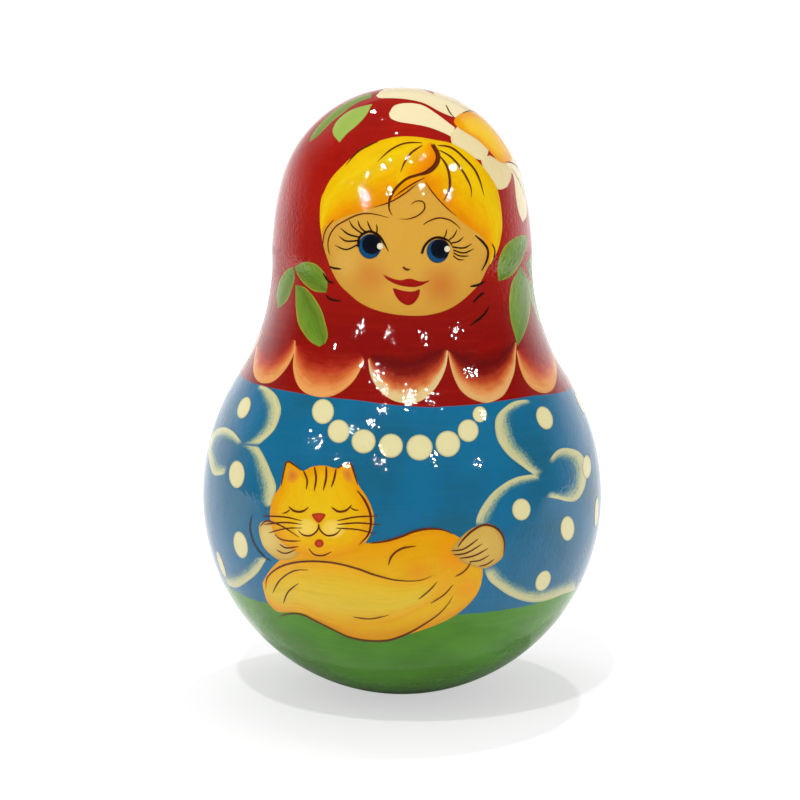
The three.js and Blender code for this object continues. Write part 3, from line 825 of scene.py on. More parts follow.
# %% Daisy
petals = [
    ([(376, 95), (385, 88.5), (402, 87), (418.5, 88), (431.5, 92.5), (450, 100.5), (465, 109)],
     [(376, 95), (381, 97.5), (406, 98.5), (424, 102.5), (439, 110.5), (452, 116), (462, 118)]),
    ([(389, 113), (394.5, 105), (407, 102.5), (422, 104.5), (437, 113.5), (447, 121), (455, 127)],
     [(389, 113), (391, 118), (400, 121.5), (413, 123.5), (428, 126.5), (443, 132), (453, 137)]),
    ([(451, 133), (451.5, 141), (456, 148), (468, 154.5), (479.5, 159.5), (486.5, 158.5)],
     [(458, 126), (468, 131), (478, 138), (485, 144), (489, 149), (486.5, 158.5)]),
    ([(481, 159), (485, 173), (491, 184.5), (500, 189.5), (507.5, 187)],
     [(490, 155), (499, 160), (507, 164), (511.5, 170), (511.5, 178), (507.5, 187)]),
    ([(511, 165), (515, 182), (516.5, 197), (519, 211.5), (523, 222)],
     [(514, 163), (519.5, 176), (524.5, 189), (527, 204), (527, 216), (523, 222)]),
    ([(463, 107), (469, 109), (476, 112), (482, 116), (487, 121)],
     [(462, 103), (470, 104.5), (479, 109), (486, 115), (489, 121)]),
]
for k, (one, other) in enumerate(petals):
    ruled("petal", seen(one), seen(other), 1 + 0.2 * k, tone=(1.0, 0.95, 0.68, 0.6, 0.8, 0.9)[k],
          columns=12)
flower = seen([(484, 133)])[0]
outward = directions(flower)
toward = np.cross(outward, [0, 0, 1.0])
toward /= np.linalg.norm(toward)
upward = np.cross(toward, outward)


def petal(turn, near, far, wide):
    """A petal beside the flower's middle: two lines that part and meet again at its round tip."""
    a = np.radians(turn)
    out = toward * np.cos(a) + upward * np.sin(a)
    side = np.cross(outward, out)
    t = np.linspace(0, 1, 9)
    swell = wide / 2 * np.sin(np.pi * (0.12 + 0.88 * t) ** 0.9) ** 0.7
    middle = flower + np.multiply.outer(near + (far - near) * t, out)
    return [pressed(middle + s * swell[:, None] * side) for s in (1, -1)]


HIDDEN_PETALS = (95, 128, 161, 194, 227)
for k, turn in enumerate(HIDDEN_PETALS):
    ruled("petal", *petal(turn, 5.5, 19.5, 7.2), 0.2 + 0.15 * k, tone=0.85, columns=12)
blob("daisy_heart", seen([
    (454.6, 119), (461, 113), (470, 111), (479.5, 115.5), (487, 121.5), (496, 131), (505, 144),
    (512, 156), (511, 161.5), (505, 163), (498, 160), (489, 150), (478, 139.5), (465, 131.5),
    (456, 125)]), 2)
lines("brown_line", 3,
      (2.0, (446, 104), (450, 112), (455.5, 118)), (1.8, (506, 161.5), (515, 164), (522, 175)),
      (1.6, (512, 168), (520, 182), (526, 199)), (1.4, (462, 113), (472, 110.5), (482, 116)))
print(len(SKINS["petal"]), "petals")

# %% [markdown]
# A leaf is mostly painted in two pulls of the brush, from its stem to its tip, and has a lighter
# edge where the paint is pushed aside. So it is ruled between its two sides, and its colour runs
# from one to the other. The pair that shows beside the face is repeated round the back.

# %% Leaves
leaves = [
    ([(339, 142), (333, 134), (333, 127), (339, 118), (352, 109), (372, 103.5)],
     [(340, 141), (347, 133), (357.5, 124), (366, 114.5), (372, 104)]),
    ([(309, 141), (313, 132), (326, 117), (343, 104), (357.5, 96.5), (372, 92.5)],
     [(310, 141), (319, 134), (332, 121), (343, 112), (357.5, 102), (371, 97)]),
    ([(277, 308), (276, 294), (279, 281), (285, 271), (292, 267)],
     [(278, 308), (286, 301), (291, 290), (294, 279), (293, 267)]),
    ([(294, 267), (304, 262), (314, 263.5), (321, 269), (326, 277), (327, 287)],
     [(294, 268), (299, 278), (306, 286), (315, 291.5), (326, 292.5)]),
    ([(295, 285), (295, 300), (296, 314), (298, 324), (303, 333), (310, 341.5), (319, 346.5)],
     [(297, 285), (305, 288), (314, 298), (321, 310), (325, 323), (327.5, 335), (325, 343)]),
    ([(499, 281), (498, 268), (501, 254), (508, 243), (519, 236), (527, 235)],
     [(500, 281), (510, 277), (519, 267), (525, 254), (528, 243), (527, 235)]),
    ([(521, 267), (513, 281), (510, 296), (510, 311), (511.6, 322), (515, 334), (518, 345)],
     [(522, 267), (529, 281), (531, 296), (530.5, 312), (527.5, 326), (523, 337), (518.5, 345)]),
]
for k, (one, other) in enumerate(leaves):
    ruled("leaf", seen(one), seen(other), 1.3, tone=(0.9, 0.6, 0.1, 0.3, 0.35, 0.1, 0.2)[k],
          columns=12)
right_pair = [(seen(one), seen(other)) for one, other in leaves[3:5]]
for k, degrees in enumerate((122, 168, 214, 258)):
    for m, (one, other) in enumerate(right_pair):
        ruled("leaf", swung(one, degrees), swung(other, degrees), 1.3, tone=0.1 + 0.2 * m,
              columns=12)
print(len(SKINS["leaf"]), "leaves")

# %% [markdown]
# The face is one oval of skin colour, painted first. The hair lies over its upper part in two
# sweeps from the parting, yellow at the back and orange at the forehead, with a small lobe between.

# %% Face and hair
blob("face_skin", seen([
    (321, 198), (319.6, 209), (319.6, 223), (321, 234), (322.4, 244), (326.7, 258), (332, 272),
    (339, 284), (348, 293), (359, 302), (373, 309), (390, 313.5), (407, 315.5), (423.5, 315.5),
    (437.5, 313), (449, 309), (460, 302.5), (471, 293), (481, 282), (488, 268), (498, 251),
    (502, 234), (502.8, 223), (502, 212), (500, 198), (496, 185), (481, 164), (468, 152),
    (451.5, 143), (437.5, 140), (421, 137), (404, 136), (390, 137.6), (373, 143), (356, 153),
    (342, 166), (331, 178), (324, 191)]), 1)
ruled("hair",
      seen([(321, 234), (319.6, 223), (319.6, 209), (321, 198), (324, 191), (331, 178), (342, 166),
            (356, 153), (373, 143), (390, 137.6), (404, 136), (421, 137), (431, 139)]),
      seen([(322, 235), (323, 229), (328, 225), (335, 221), (346, 216), (360, 212), (373, 208),
            (387, 203), (398, 197), (408, 189.5), (418, 182.5), (424, 180.5)]), 2, tone=0.2,
      columns=46)
ruled("hair",
      seen([(429, 139), (437.5, 140), (451.5, 143), (468, 152), (481, 164), (496, 185), (500, 198),
            (502, 212), (502.8, 223), (502, 234), (498, 250), (491, 264)]),
      seen([(422, 180), (430.5, 191), (439, 201), (449, 210.6), (460, 220), (471, 228.5),
            (480, 234), (487, 243), (489, 251), (490, 264)]), 2, tone=0.6, columns=40)
ruled("hair_lobe",
      seen([(428, 142), (416, 146), (404, 155), (397, 167), (396, 178), (399, 187)]),
      seen([(431, 142.5), (436.5, 149), (437.5, 157), (434.5, 165), (427, 171.5), (416, 175)]), 3,
      columns=16)
print("face, two sweeps of hair and a lobe")

# %% [markdown]
# Strands and the parting are drawn over the hair with a fine liner brush. They could be bevelled
# curves, but a flat band under lacquer has no round edge. The broad stroke at the parting is where
# the brush is pressed down.

# %% Strands of hair
lines("brown_line", 4,
      (2.4, (379, 141), (367, 146), (356, 153), (345, 166)),
      (2.1, (423.5, 142.5), (405, 143), (390, 150), (376, 163)),
      (2.3, (423.5, 144.6), (412, 152), (405, 161.5), (400, 173)),
      (3.0, (436, 145), (451.5, 147.4), (465.6, 159), (477, 173), (485, 198)),
      (2.6, (437.5, 149), (451.5, 157), (463, 171), (471, 187), (471.5, 199)),
      (3.0, (439, 154.5), (447, 166), (450, 180), (449, 191), (443, 202)),
      (1.6, (426, 177), (415, 182.5), (404, 189.5), (392.6, 198)),
      (1.6, (410, 205), (416.5, 201), (423.5, 202), (424.5, 209), (418, 215.5), (408, 219),
       (398, 218.7)),
      (1.6, (418, 183), (404, 194), (390, 202), (372, 208)),
      (1.4, (425, 181), (434, 194), (446, 207), (458, 217)))
lines("brown_line", 4,
      (5.4, (432, 143), (438, 154.5), (435.5, 165), (426, 172.5), (415, 175.5)),
      (3.0, (428, 171.5), (417, 175), (407, 178.5),
       (397, 187), (390.5, 197), (389, 208), (393, 217)), ends=(0.9, 0.2))
print(len(SKINS["brown_line"]), "brown lines so far")

# %% [markdown]
# Each eye is built up as the painter does it: a blue ball, a dark middle and one bright point, each
# on its own layer. The lid and a fan of lashes are pulled outwards, so they start thick and end
# thin.

# %% Eyes and brows
for iris, pupil, point in (
        ((369.7, 246.4, 12, 13), (371.8, 244.3, 10.6, 10.8), (380.0, 246.2, 3.1, 3.3)),
        ((437.8, 251.3, 11.6, 12.3), (440.4, 249.0, 10.4, 10.6), (447.4, 249.0, 2.9, 3.1))):
    blob("eye_blue", oval(*iris), 2, fine=0.5)
    blob("eye_dark", oval(*pupil), 3, fine=0.5)
    blob("eye_point", oval(*point), 4, fine=0.3)
lines("dark_line", 4,
      (2.9, (358, 248), (359.5, 237), (369, 231.5), (378.6, 235.5), (384, 243), (389, 252.5)),
      (2.7, (421.5, 254.5), (425, 245.5), (432, 239), (440, 237.5), (449, 241), (453.5, 248)),
      (1.5, (376.5, 234), (377, 229), (376.3, 224)), (1.6, (372, 232), (369, 226), (367, 220.5)),
      (1.7, (366.6, 233), (360, 227), (357.5, 219.5)),
      (1.7, (363, 234.5), (353, 227), (348.5, 219.5)),
      (1.8, (360, 237.5), (348, 234), (339.5, 227.5)),
      (1.8, (358.5, 240.5), (346, 241), (338.5, 236)),
      (1.6, (358, 244.5), (346, 249.5), (334, 245)),
      (1.4, (444, 238.5), (446, 234), (447.2, 229)), (1.5, (449, 240), (454, 236), (457.5, 229)),
      (1.6, (451.5, 243), (458.6, 241.5), (464, 236.5)),
      (1.7, (452.5, 247), (464, 248), (472.5, 243.5)),
      (1.6, (453, 250), (464, 253), (474.5, 248.5)), (1.5, (453.6, 252.8), (460, 256), (470, 256)),
      (1.3, (453.2, 255.5), (458.6, 259.5), (465, 260)), ends=(1.0, 0.2))
lines("brown_line", 4,
      (1.7, (330.5, 257), (328, 249), (328.5, 238), (335, 227), (347, 219.5), (357, 215),
       (367, 213.3), (378.6, 215), (391, 218.5)),
      (1.5, (334, 219), (325.5, 230), (322.5, 243), (323.5, 255)),
      (1.7, (422.5, 225.5), (429, 221), (439, 218), (449, 219.7), (456, 224.2), (462, 230)),
      (2.6, (402.5, 266.8), (406.5, 269.6), (410.5, 269.2)), ends=(0.5, 0.25))
print("eyes and brows")

# %% [markdown]
# The lips are two small patches of red, and short curls of hair frame the cheeks. The blush isn't a
# patch: it is dabbed into the wet skin colour, so it comes with the skin's paint further down.

# %% Mouth and curls
ruled("lip_red",
      seen([(383, 274.5), (391, 278), (398, 280), (404, 280), (406.6, 278.8), (412, 278.8),
            (418, 281), (423.5, 281.5), (429.5, 280.2)]),
      seen([(383.5, 275.5), (387, 279.5), (393, 283), (400, 285.5), (409, 287), (416, 287),
            (421, 285.6), (426, 283.2), (429.5, 281)]), 3, columns=8)
blob("lip_red", seen([
    (393, 288), (400, 290), (409, 291.6), (416, 290.8), (419.8, 288.8), (419.4, 295), (417, 299.5),
    (413, 303.8), (408, 305.3), (402, 303), (397, 298), (394, 292.5)]), 3, fine=0.5)
lines("dark_line", 4,
      (3.0, (475, 235), (484, 243), (488.3, 251), (487, 261), (481.5, 271.5)),
      (2.0, (492, 243), (495.2, 251), (493, 263)), (2.6, (470, 286.5), (478, 285), (486, 281)),
      (2.6, (485, 292.5), (479, 296.5), (473, 303.5)), (2.4, (489.5, 306), (484, 315), (470, 326)),
      (2.2, (329, 266.5), (334, 268.3), (341.5, 269)), (2.4, (322.5, 273), (328, 281), (334.5, 283)),
      (2.2, (325, 294.5), (331, 299.5), (341.5, 301)), ends=(0.4, 0.3))
print(len(SKINS["dark_line"]), "dark lines")

# %% [markdown]
# The doll's hands hold a sleeping ginger cat. Each hand is one soft oval with the fingers only drawn
# on it, as such dolls have them.

# %% Hands
blob("hand_skin", seen([
    (258.5, 526), (267, 520.5), (282, 526), (301, 538), (304, 545), (300, 552), (293, 559),
    (280, 560.5), (270, 554.5), (262, 544.5)]), 1.5)
blob("hand_skin", seen([
    (451, 551), (458.5, 540), (469, 530.5), (479, 525.5), (489, 523.5), (497.5, 528), (503.5, 537),
    (505, 547), (503.5, 556.5), (496.5, 563.5), (486, 568.5), (476, 567.5), (464, 563.5),
    (457, 557.5)]), 1.5)
lines("shade_line", 2,
      (4.5, (252, 512), (249.5, 527), (254, 544), (264, 557), (273, 562)), ends=(0.4, 0.3))
lines("brown_line", 5,
      (2.4, (457, 549), (463, 540), (473, 530.5), (484, 525), (494.5, 527), (502, 534),
       (504.8, 544), (503.5, 557)),
      (1.8, (451, 551), (464, 549), (479, 538.5)), (1.8, (453, 555), (467, 553), (483, 543.5)),
      (1.8, (459, 558.5), (474, 556), (489, 548)), (1.6, (469, 562), (480, 560.5), (490, 555)),
      (1.6, (479, 566.5), (487, 564.5), (495, 559)),
      (1.9, (259, 527), (267, 521), (283, 527), (300, 538)),
      (1.8, (274, 534), (280, 539), (289, 541), (301, 541)),
      (1.8, (279, 544), (286, 548), (299, 546.5)), (1.6, (276, 550), (285, 553.5), (296, 549.5)),
      ends=(0.5, 0.3))
print("hands")

# %% [markdown]
# The cat lies curled on the dress: one long body with its haunch to the right, its tail brought
# round in front, and a round head. Body, tail and head are three patches on three layers, so each
# can have its own run of colour. The head's details are plain ovals and dots.

# %% The cat's body and head
ruled("cat_fur",
      seen([(262, 583), (270, 570), (284, 557), (304, 551), (328, 548), (352, 545), (376, 542),
            (398, 537), (414, 531.5), (429, 528.8), (443, 530), (456, 535.5), (468, 545),
            (479, 558), (483, 571), (482, 581)]),
      seen([(263, 590), (267, 602), (277, 612), (291, 612.5), (303, 614), (316, 621), (332, 629),
            (347, 636), (366, 640), (386, 640), (406, 635.5), (428, 628.5), (446, 621),
            (462, 611), (475.5, 597), (481, 586)]), 1, tone=0.3, columns=44)
ruled("cat_tail",
      seen([(265, 589), (268, 578), (279, 568), (296, 563), (316, 562), (336, 564), (356, 569),
            (376, 576), (398, 581), (420, 581), (438, 575), (452, 566)]),
      seen([(266, 592), (272, 604), (283, 611), (300, 613), (315, 618), (331, 624), (348, 627),
            (368, 627), (390, 623), (414, 613), (438, 597), (452, 582)]), 2, tone=0.8, columns=26)
blob("cat_head", seen([
    (280, 486), (283.5, 470), (287, 461), (293, 463), (302, 471), (312, 466.5), (325, 465.5),
    (337, 468.5), (344, 464), (350, 462), (354, 470), (358.5, 485), (366, 496), (372, 509),
    (374, 521), (371, 533), (365, 543), (353, 551), (338, 557), (321, 558.5), (304, 555),
    (289, 548), (277, 538), (270.5, 524), (270, 508), (274, 495)]), 3)
blob("cat_ear", seen([(286, 479), (290, 467), (299, 475), (293, 483)]), 4, fine=0.5)
blob("cat_ear", seen([(342, 472), (349, 466), (353, 480), (347, 482)]), 4, fine=0.5)
blob("cat_cheek", oval(306, 528, 13, 10), 4)
blob("cat_cheek", oval(333, 529, 13, 10), 4)
blob("cat_nose", seen([(311.5, 514.5), (318.5, 513), (325.5, 514.5), (322, 520.5), (318.5, 523),
                       (315, 520.5)]), 5, fine=0.4)
blob("cat_nose", oval(319, 543.5, 4.6, 4.2), 5, fine=0.4)
print("cat:", sum(len(v) for k, v in SKINS.items() if k.startswith("cat")), "patches")

# %% [markdown]
# The closed eyes, whiskers and stripes are drawn in brown, and a few long lines round the body
# show the folds of the fur. All of them lie on the top layer, over head and body alike.

# %% The cat's lines
lines("brown_line", 6,
      (2.0, (318.5, 523), (317.5, 530), (311, 535.5), (303, 535), (297, 529.5)),
      (2.0, (318.5, 523), (320, 530), (326.5, 535.5), (335, 534.5), (341.5, 528.5)),
      (1.8, (308, 548), (314, 554.5), (323, 555.5), (332, 551.5)),
      (2.4, (288, 506), (294, 511), (302, 511.5), (309, 507)),
      (2.4, (331, 507), (338, 511.5), (346, 510.5), (352, 504.5)),
      (1.5, (290, 509.5), (286, 512.5), (282, 513.5)), (1.5, (350, 507.5), (355, 510), (359, 510)),
      (1.8, (262, 516), (284, 517), (303, 521)), (1.8, (263, 524.5), (284, 522.5), (303, 524.5)),
      (1.6, (268, 533), (286, 528.5), (303, 528)),
      (1.8, (336, 521), (356, 517), (379, 516)), (1.8, (336, 524.5), (358, 523), (382, 525)),
      (1.6, (335, 528), (356, 529.5), (377, 534)),
      (2.2, (303, 470), (307, 480), (306, 490)), (2.4, (314, 466), (316, 478), (314, 492)),
      (2.4, (326, 465.5), (326, 478), (323, 491)), (2.2, (336, 468), (334, 479), (331, 488)),
      (2.0, (281, 487), (284, 470), (288, 461.5), (302, 471)),
      (2.0, (337, 468.5), (349, 462.5), (353.5, 471), (358, 486)), ends=(0.4, 0.3))
lines("brown_line", 6,
      (2.6, (356, 489), (365, 501), (370.5, 516), (369, 533), (358, 546)),
      (2.8, (277, 617), (291, 614), (303, 615.5), (317, 622), (333, 630), (348, 637), (366, 641),
       (386, 641), (404, 635.5), (421, 626.5), (438, 615), (449, 603), (454, 593)),
      (2.2, (266, 592), (267, 578), (279, 567.5), (296, 562.5), (316, 561.5), (336, 563.5),
       (356, 568.5), (376, 575.5), (398, 580.5), (420, 580.5), (437, 573.5)),
      (2.6, (368, 543.5), (384, 541.5), (400, 537), (414, 531.5), (429, 528.8), (443, 530),
       (455, 535)),
      (2.2, (388, 566), (392, 556), (402, 548.5), (417, 546)),
      (1.7, (272, 594), (280, 580), (294, 571), (310, 570)),
      (1.7, (283, 604), (288, 592), (299, 583)), (1.7, (352, 617), (370, 619), (390, 615)),
      (1.7, (430, 604), (444, 595), (454, 584)), (1.7, (418, 600), (430, 590), (438, 581)),
      (1.8, (455, 577), (465, 571), (472, 561)), ends=(0.35, 0.2))
print(sum(len(v) for v in SKINS.values()), "skins of paint in", len(SKINS), "paints")

# %% [markdown]
# Colours are given as they look in daylight, from 0 to 255, because that is how a painter compares
# them with a sample. A shader wants the share of light that a paint gives back instead. The other
# helpers are steps of arithmetic between nodes.

# %% Colours and arithmetic
DAYLIGHT = 1.3


def shade(r, g, b):
    """The share of light that a paint gives back, for the colour it shows in this light."""
    c = np.array([r, g, b]) / 255
    share = np.where(c <= 0.04045, c / 12.92, ((c + 0.055) / 1.055) ** 2.4) / DAYLIGHT
    return (*np.minimum(share, 0.95), 1.0)


def sums(tree, operation, a, b=0.0, c=0.0):
    """One step of arithmetic between sockets or numbers."""
    return add(tree, "ShaderNodeMath", {0: a, 1: b, 2: c}, operation=operation).outputs[0]


def step(tree, value, low, high):
    """0 below low, 1 above high, and a soft change between."""
    return add(tree, "ShaderNodeMapRange", {"Value": value, "From Min": low, "From Max": high},
               interpolation_type="SMOOTHSTEP").outputs[0]


def mixed(tree, part, first, second):
    """The first colour, with a part of it changed to the second."""
    return add(tree, "ShaderNodeMix", {0: part, 6: first, 7: second}, data_type="RGBA").outputs[2]


def stretched(tree, x, y, z):
    """The place on the doll, in millimetres, with each direction scaled on its own."""
    spot = add(tree, "ShaderNodeTexCoord").outputs["Object"]
    return add(tree, "ShaderNodeVectorMath", {0: spot, 1: (x / MM, y / MM, z / MM)},
               operation="MULTIPLY").outputs[0]


def noise(tree, vector, scale, detail=2.0, rough=0.5):
    """A cloudy pattern between 0 and 1."""
    return add(tree, "ShaderNodeTexNoise", {
        "Vector": vector, "Scale": scale, "Detail": detail, "Roughness": rough}).outputs[0]


def group(name, outputs, inputs):
    """An empty node group with named sockets: its tree, what it is given, and what it puts out."""
    made = bpy.data.node_groups.new(name, "ShaderNodeTree")
    for way, sockets in (("OUTPUT", outputs), ("INPUT", inputs)):
        for label, kind in sockets.items():
            made.interface.new_socket(label, in_out=way, socket_type="NodeSocket" + kind)
    return made, made.nodes.new("NodeGroupInput").outputs, made.nodes.new("NodeGroupOutput").inputs


print("a mid red gives back", [round(c, 3) for c in shade(174, 26, 14)[:3]])

# %% [markdown]
# The ground coat is what shows between the motifs: red above a slightly tilted hem, blue below it
# and green at the foot, brushed on while the doll turns, so its hairs lie round the axis. It is a
# node group, because every paint that fades out has to fade into exactly this colour at its place.

# %% The ground coat's colours
ground_paint, given, out = group("ground_paint", {"Color": "Color"}, {"Streaks": "Float"})
t = ground_paint
DIPS = ((4, 17, -0.65), (28, 14, 0.8))  # the hem's waves: middle, reach and rise
GRASS_HEIGHT = 27.3
place = add(t, "ShaderNodeSeparateXYZ", {0: stretched(t, 1, 1, 1)})
cloud = noise(t, stretched(t, 1, 1, 1), 0.07, 3.0)
hairs = noise(t, stretched(t, 0.08, 0.08, 1.1), 1.0, 3.0, 0.6)
wave = sums(t, "MULTIPLY_ADD", noise(t, stretched(t, 1, 1, 0.2), 0.12), 1.0, -0.5)
hem = sums(t, "MULTIPLY_ADD", place.outputs["X"], -HEM_SLOPE, HEM_HEIGHT)
front = step(t, place.outputs["Y"], 5, -5)
for middle, reach, rise in DIPS:
    aside = sums(t, "ABSOLUTE", sums(t, "SUBTRACT", place.outputs["X"], middle))
    lifted = sums(t, "MULTIPLY", step(t, aside, reach, 0), sums(t, "MULTIPLY", front, rise))
    hem = sums(t, "ADD", hem, lifted)
above = step(t, sums(t, "SUBTRACT", place.outputs["Z"], sums(t, "ADD", hem, sums(
    t, "MULTIPLY", wave, 0.5))), -0.12, 0.12)
grass = step(t, sums(t, "SUBTRACT", place.outputs["Z"], sums(
    t, "MULTIPLY_ADD", wave, 1.0, GRASS_HEIGHT)), 0.25, -0.1)
streaks = sums(t, "MULTIPLY", step(t, hairs, 0.45, 0.75), given["Streaks"])
red = mixed(t, step(t, cloud, 0.3, 0.75), shade(174, 26, 14), shade(156, 20, 12))
# The red turns darker below the head: partly the paint's own tone and partly painted shade.
low = step(t, sums(t, "MULTIPLY_ADD", cloud, 10.0, place.outputs["Z"]), 108, 90)
red = mixed(t, sums(t, "MULTIPLY", low, 0.8), red, shade(132, 12, 8))
red = mixed(t, sums(t, "MULTIPLY", streaks, 0.22), red, shade(186, 36, 18))
blue = mixed(t, step(t, cloud, 0.35, 0.7), shade(22, 108, 149), shade(26, 98, 129))
blue = mixed(t, sums(t, "MULTIPLY", streaks, 0.3), blue, shade(34, 116, 146))
green = mixed(t, step(t, cloud, 0.35, 0.7), shade(82, 146, 30), shade(72, 128, 26))
green = mixed(t, sums(t, "MULTIPLY", streaks, 0.3), green, shade(96, 156, 42))
t.links.new(mixed(t, grass, mixed(t, above, blue, red), green), out[0])
print("ground coat:", len(t.nodes), "nodes")

# %% [markdown]
# Lacquer that dries on a hand-turned doll is never flat. A wide swell, small ripples and a finer
# grain bend the reflections, more in some places than in others. It could be modelled, but that
# would take millions of faces, and no outline would show it. So it is a bump.

# %% The ripple of the lacquer
lacquer_ripple, given, out = group(
    "lacquer_ripple", {"Height": "Float"}, {"Small": "Float", "Fine": "Float"})
t = lacquer_ripple
wide = noise(t, stretched(t, 1, 1, 1), 0.16, 1.0)
small = noise(t, stretched(t, 1, 1, 0.8), 1.25, 0.0)
fine = noise(t, stretched(t, 1, 1, 1), 1.7, 0.0)
uneven = step(t, noise(t, stretched(t, 1, 1, 1), 0.055, 1.0), 0.3, 0.7)
both = sums(t, "MULTIPLY_ADD", fine, given["Fine"], sums(t, "MULTIPLY", small, given["Small"]))
amount = sums(t, "MULTIPLY_ADD", uneven, 0.85, 0.15)
t.links.new(sums(t, "MULTIPLY_ADD", both, amount, wide), out[0])
print("ripple:", len(t.nodes), "nodes")

# %% [markdown]
# What a brush does to paint is the same for every colour. Its border wanders a little, bristles
# leave streaks where the coat is thin, a drying brush breaks up into specks, and a wet one leaves
# edges that thin out. Each effect is a node group that a paint uses with its own values.

# %% What the brush leaves
brush_marks, given, out = group("brush_marks", {"Across": "Float", "Bristle": "Float"},
                                {"Place": "Vector", "Tone": "Float", "Ragged": "Float"})
t = brush_marks
spot = add(t, "ShaderNodeSeparateXYZ", {0: given["Place"]})
cloud = noise(t, stretched(t, 1, 1, 1), 0.35, 3.0)
shift = sums(t, "MULTIPLY", sums(t, "SUBTRACT", cloud, 0.5), sums(t, "MULTIPLY", given["Ragged"], 2))
t.links.new(sums(t, "ADD", spot.outputs["Y"], shift), out["Across"])
t.links.new(noise(t, add(t, "ShaderNodeCombineXYZ", {
    0: sums(t, "MULTIPLY", spot.outputs["X"], 5.0),
    1: sums(t, "MULTIPLY", spot.outputs["Y"], 17.0),
    2: sums(t, "MULTIPLY", given["Tone"], 9.0)}).outputs[0], 1.0, 3.0, 0.6), out["Bristle"])

worn_colour, given, out = group("worn_colour", {"Color": "Color"},
                                {"Color": "Color", "Bristle": "Float", "Streak": "Float"})
t = worn_colour
deep = add(t, "ShaderNodeHueSaturation", {
    "Color": given["Color"], "Value": 0.72, "Saturation": 1.06}).outputs[0]
worn = sums(t, "MULTIPLY", step(t, given["Bristle"], 0.42, 0.72),
            sums(t, "MULTIPLY", given["Streak"], 2))
t.links.new(mixed(t, worn, given["Color"], deep), out[0])

dry_fade, given, out = group("dry_fade", {"Gone": "Float"}, {
    "Across": "Float", "Bristle": "Float", "From": "Float", "To": "Float", "Dry": "Float",
    "Grain": "Float"})
t = dry_fade
speck = sums(t, "SUBTRACT", noise(t, stretched(t, 1, 1, 1), 2.0, 2.0), 0.5)
speck = sums(t, "MULTIPLY_ADD", speck, sums(t, "MULTIPLY", given["Grain"], 1.6), given["Across"])
loose = sums(t, "MULTIPLY_ADD", sums(t, "SUBTRACT", given["Bristle"], 0.5), given["Dry"], speck)
t.links.new(step(t, loose, given["From"], given["To"]), out[0])
print("brush groups:", brush_marks.name, worn_colour.name, dry_fade.name)

# %% [markdown]
# Two more effects: the thin wet edge of a fine line, as a share of cover, and a dab of another
# colour worked into a wet coat, such as the blush on a cheek.

# %% Thin edges and soft dabs
thin_edges, given, out = group("thin_edges", {"Alpha": "Float"}, {
    "Across": "Float", "Along": "Float", "First": "Float", "Last": "Float", "Ends": "Float",
    "Cover": "Float"})
t = thin_edges
thick = sums(t, "MULTIPLY", step(t, given["Across"], -0.001, given["First"]), given["Cover"])
for way, low, high in (("Across", 1.001, sums(t, "SUBTRACT", 1.0, given["Last"])),
                       ("Along", -0.001, given["Ends"]),
                       ("Along", 1.001, sums(t, "SUBTRACT", 1.0, given["Ends"]))):
    thick = sums(t, "MULTIPLY", thick, step(t, given[way], low, high))
t.links.new(thick, out[0])

soft_dab, given, out = group("soft_dab", {"Color": "Color"}, {
    "Color": "Color", "Other": "Color", "Middle": "Vector", "Reach": "Float", "Share": "Float"})
t = soft_dab
apart = add(t, "ShaderNodeVectorMath", {
    0: add(t, "ShaderNodeTexCoord").outputs["Object"], 1: given["Middle"]}, operation="DISTANCE")
near = step(t, apart.outputs["Value"], given["Reach"], 0.0)
t.links.new(mixed(t, sums(t, "MULTIPLY", near, given["Share"]), given["Color"], given["Other"]),
            out[0])
print("shared groups:", [g.name for g in bpy.data.node_groups])

# %% [markdown]
# Every paint lies under the same lacquer, so all of them share one glossy face with a slight
# ripple, and only the colour differs. A patch gives each corner its place on it, and the colour
# runs across the patch by stops.

# %% How a paint is made
RIPPLE, RIPPLE_SMALL, RIPPLE_FINE = 0.00011, 0.6, 0.14
LACQUER_ROUGH, LACQUER_IOR = 0.03, 1.5
PAINTS = {}


def use(tree, shared, sockets):
    """A shared node group placed in a material, with its own values: the group's outputs."""
    return add(tree, "ShaderNodeGroup", sockets, node_tree=shared).outputs


def lacquered(name):
    """A new glossy material, its node tree and its shader."""
    made = bpy.data.materials.new(name)
    made.use_nodes = True
    tree = made.node_tree
    face = tree.nodes["Principled BSDF"]
    face.inputs["Roughness"].default_value = LACQUER_ROUGH
    face.inputs["IOR"].default_value = LACQUER_IOR
    ripple = use(tree, lacquer_ripple, {"Small": RIPPLE_SMALL, "Fine": RIPPLE_FINE})
    bump = add(tree, "ShaderNodeBump", {"Height": ripple[0], "Distance": RIPPLE, "Strength": 1.0})
    tree.links.new(bump.outputs[0], face.inputs["Normal"])
    return made, tree, face


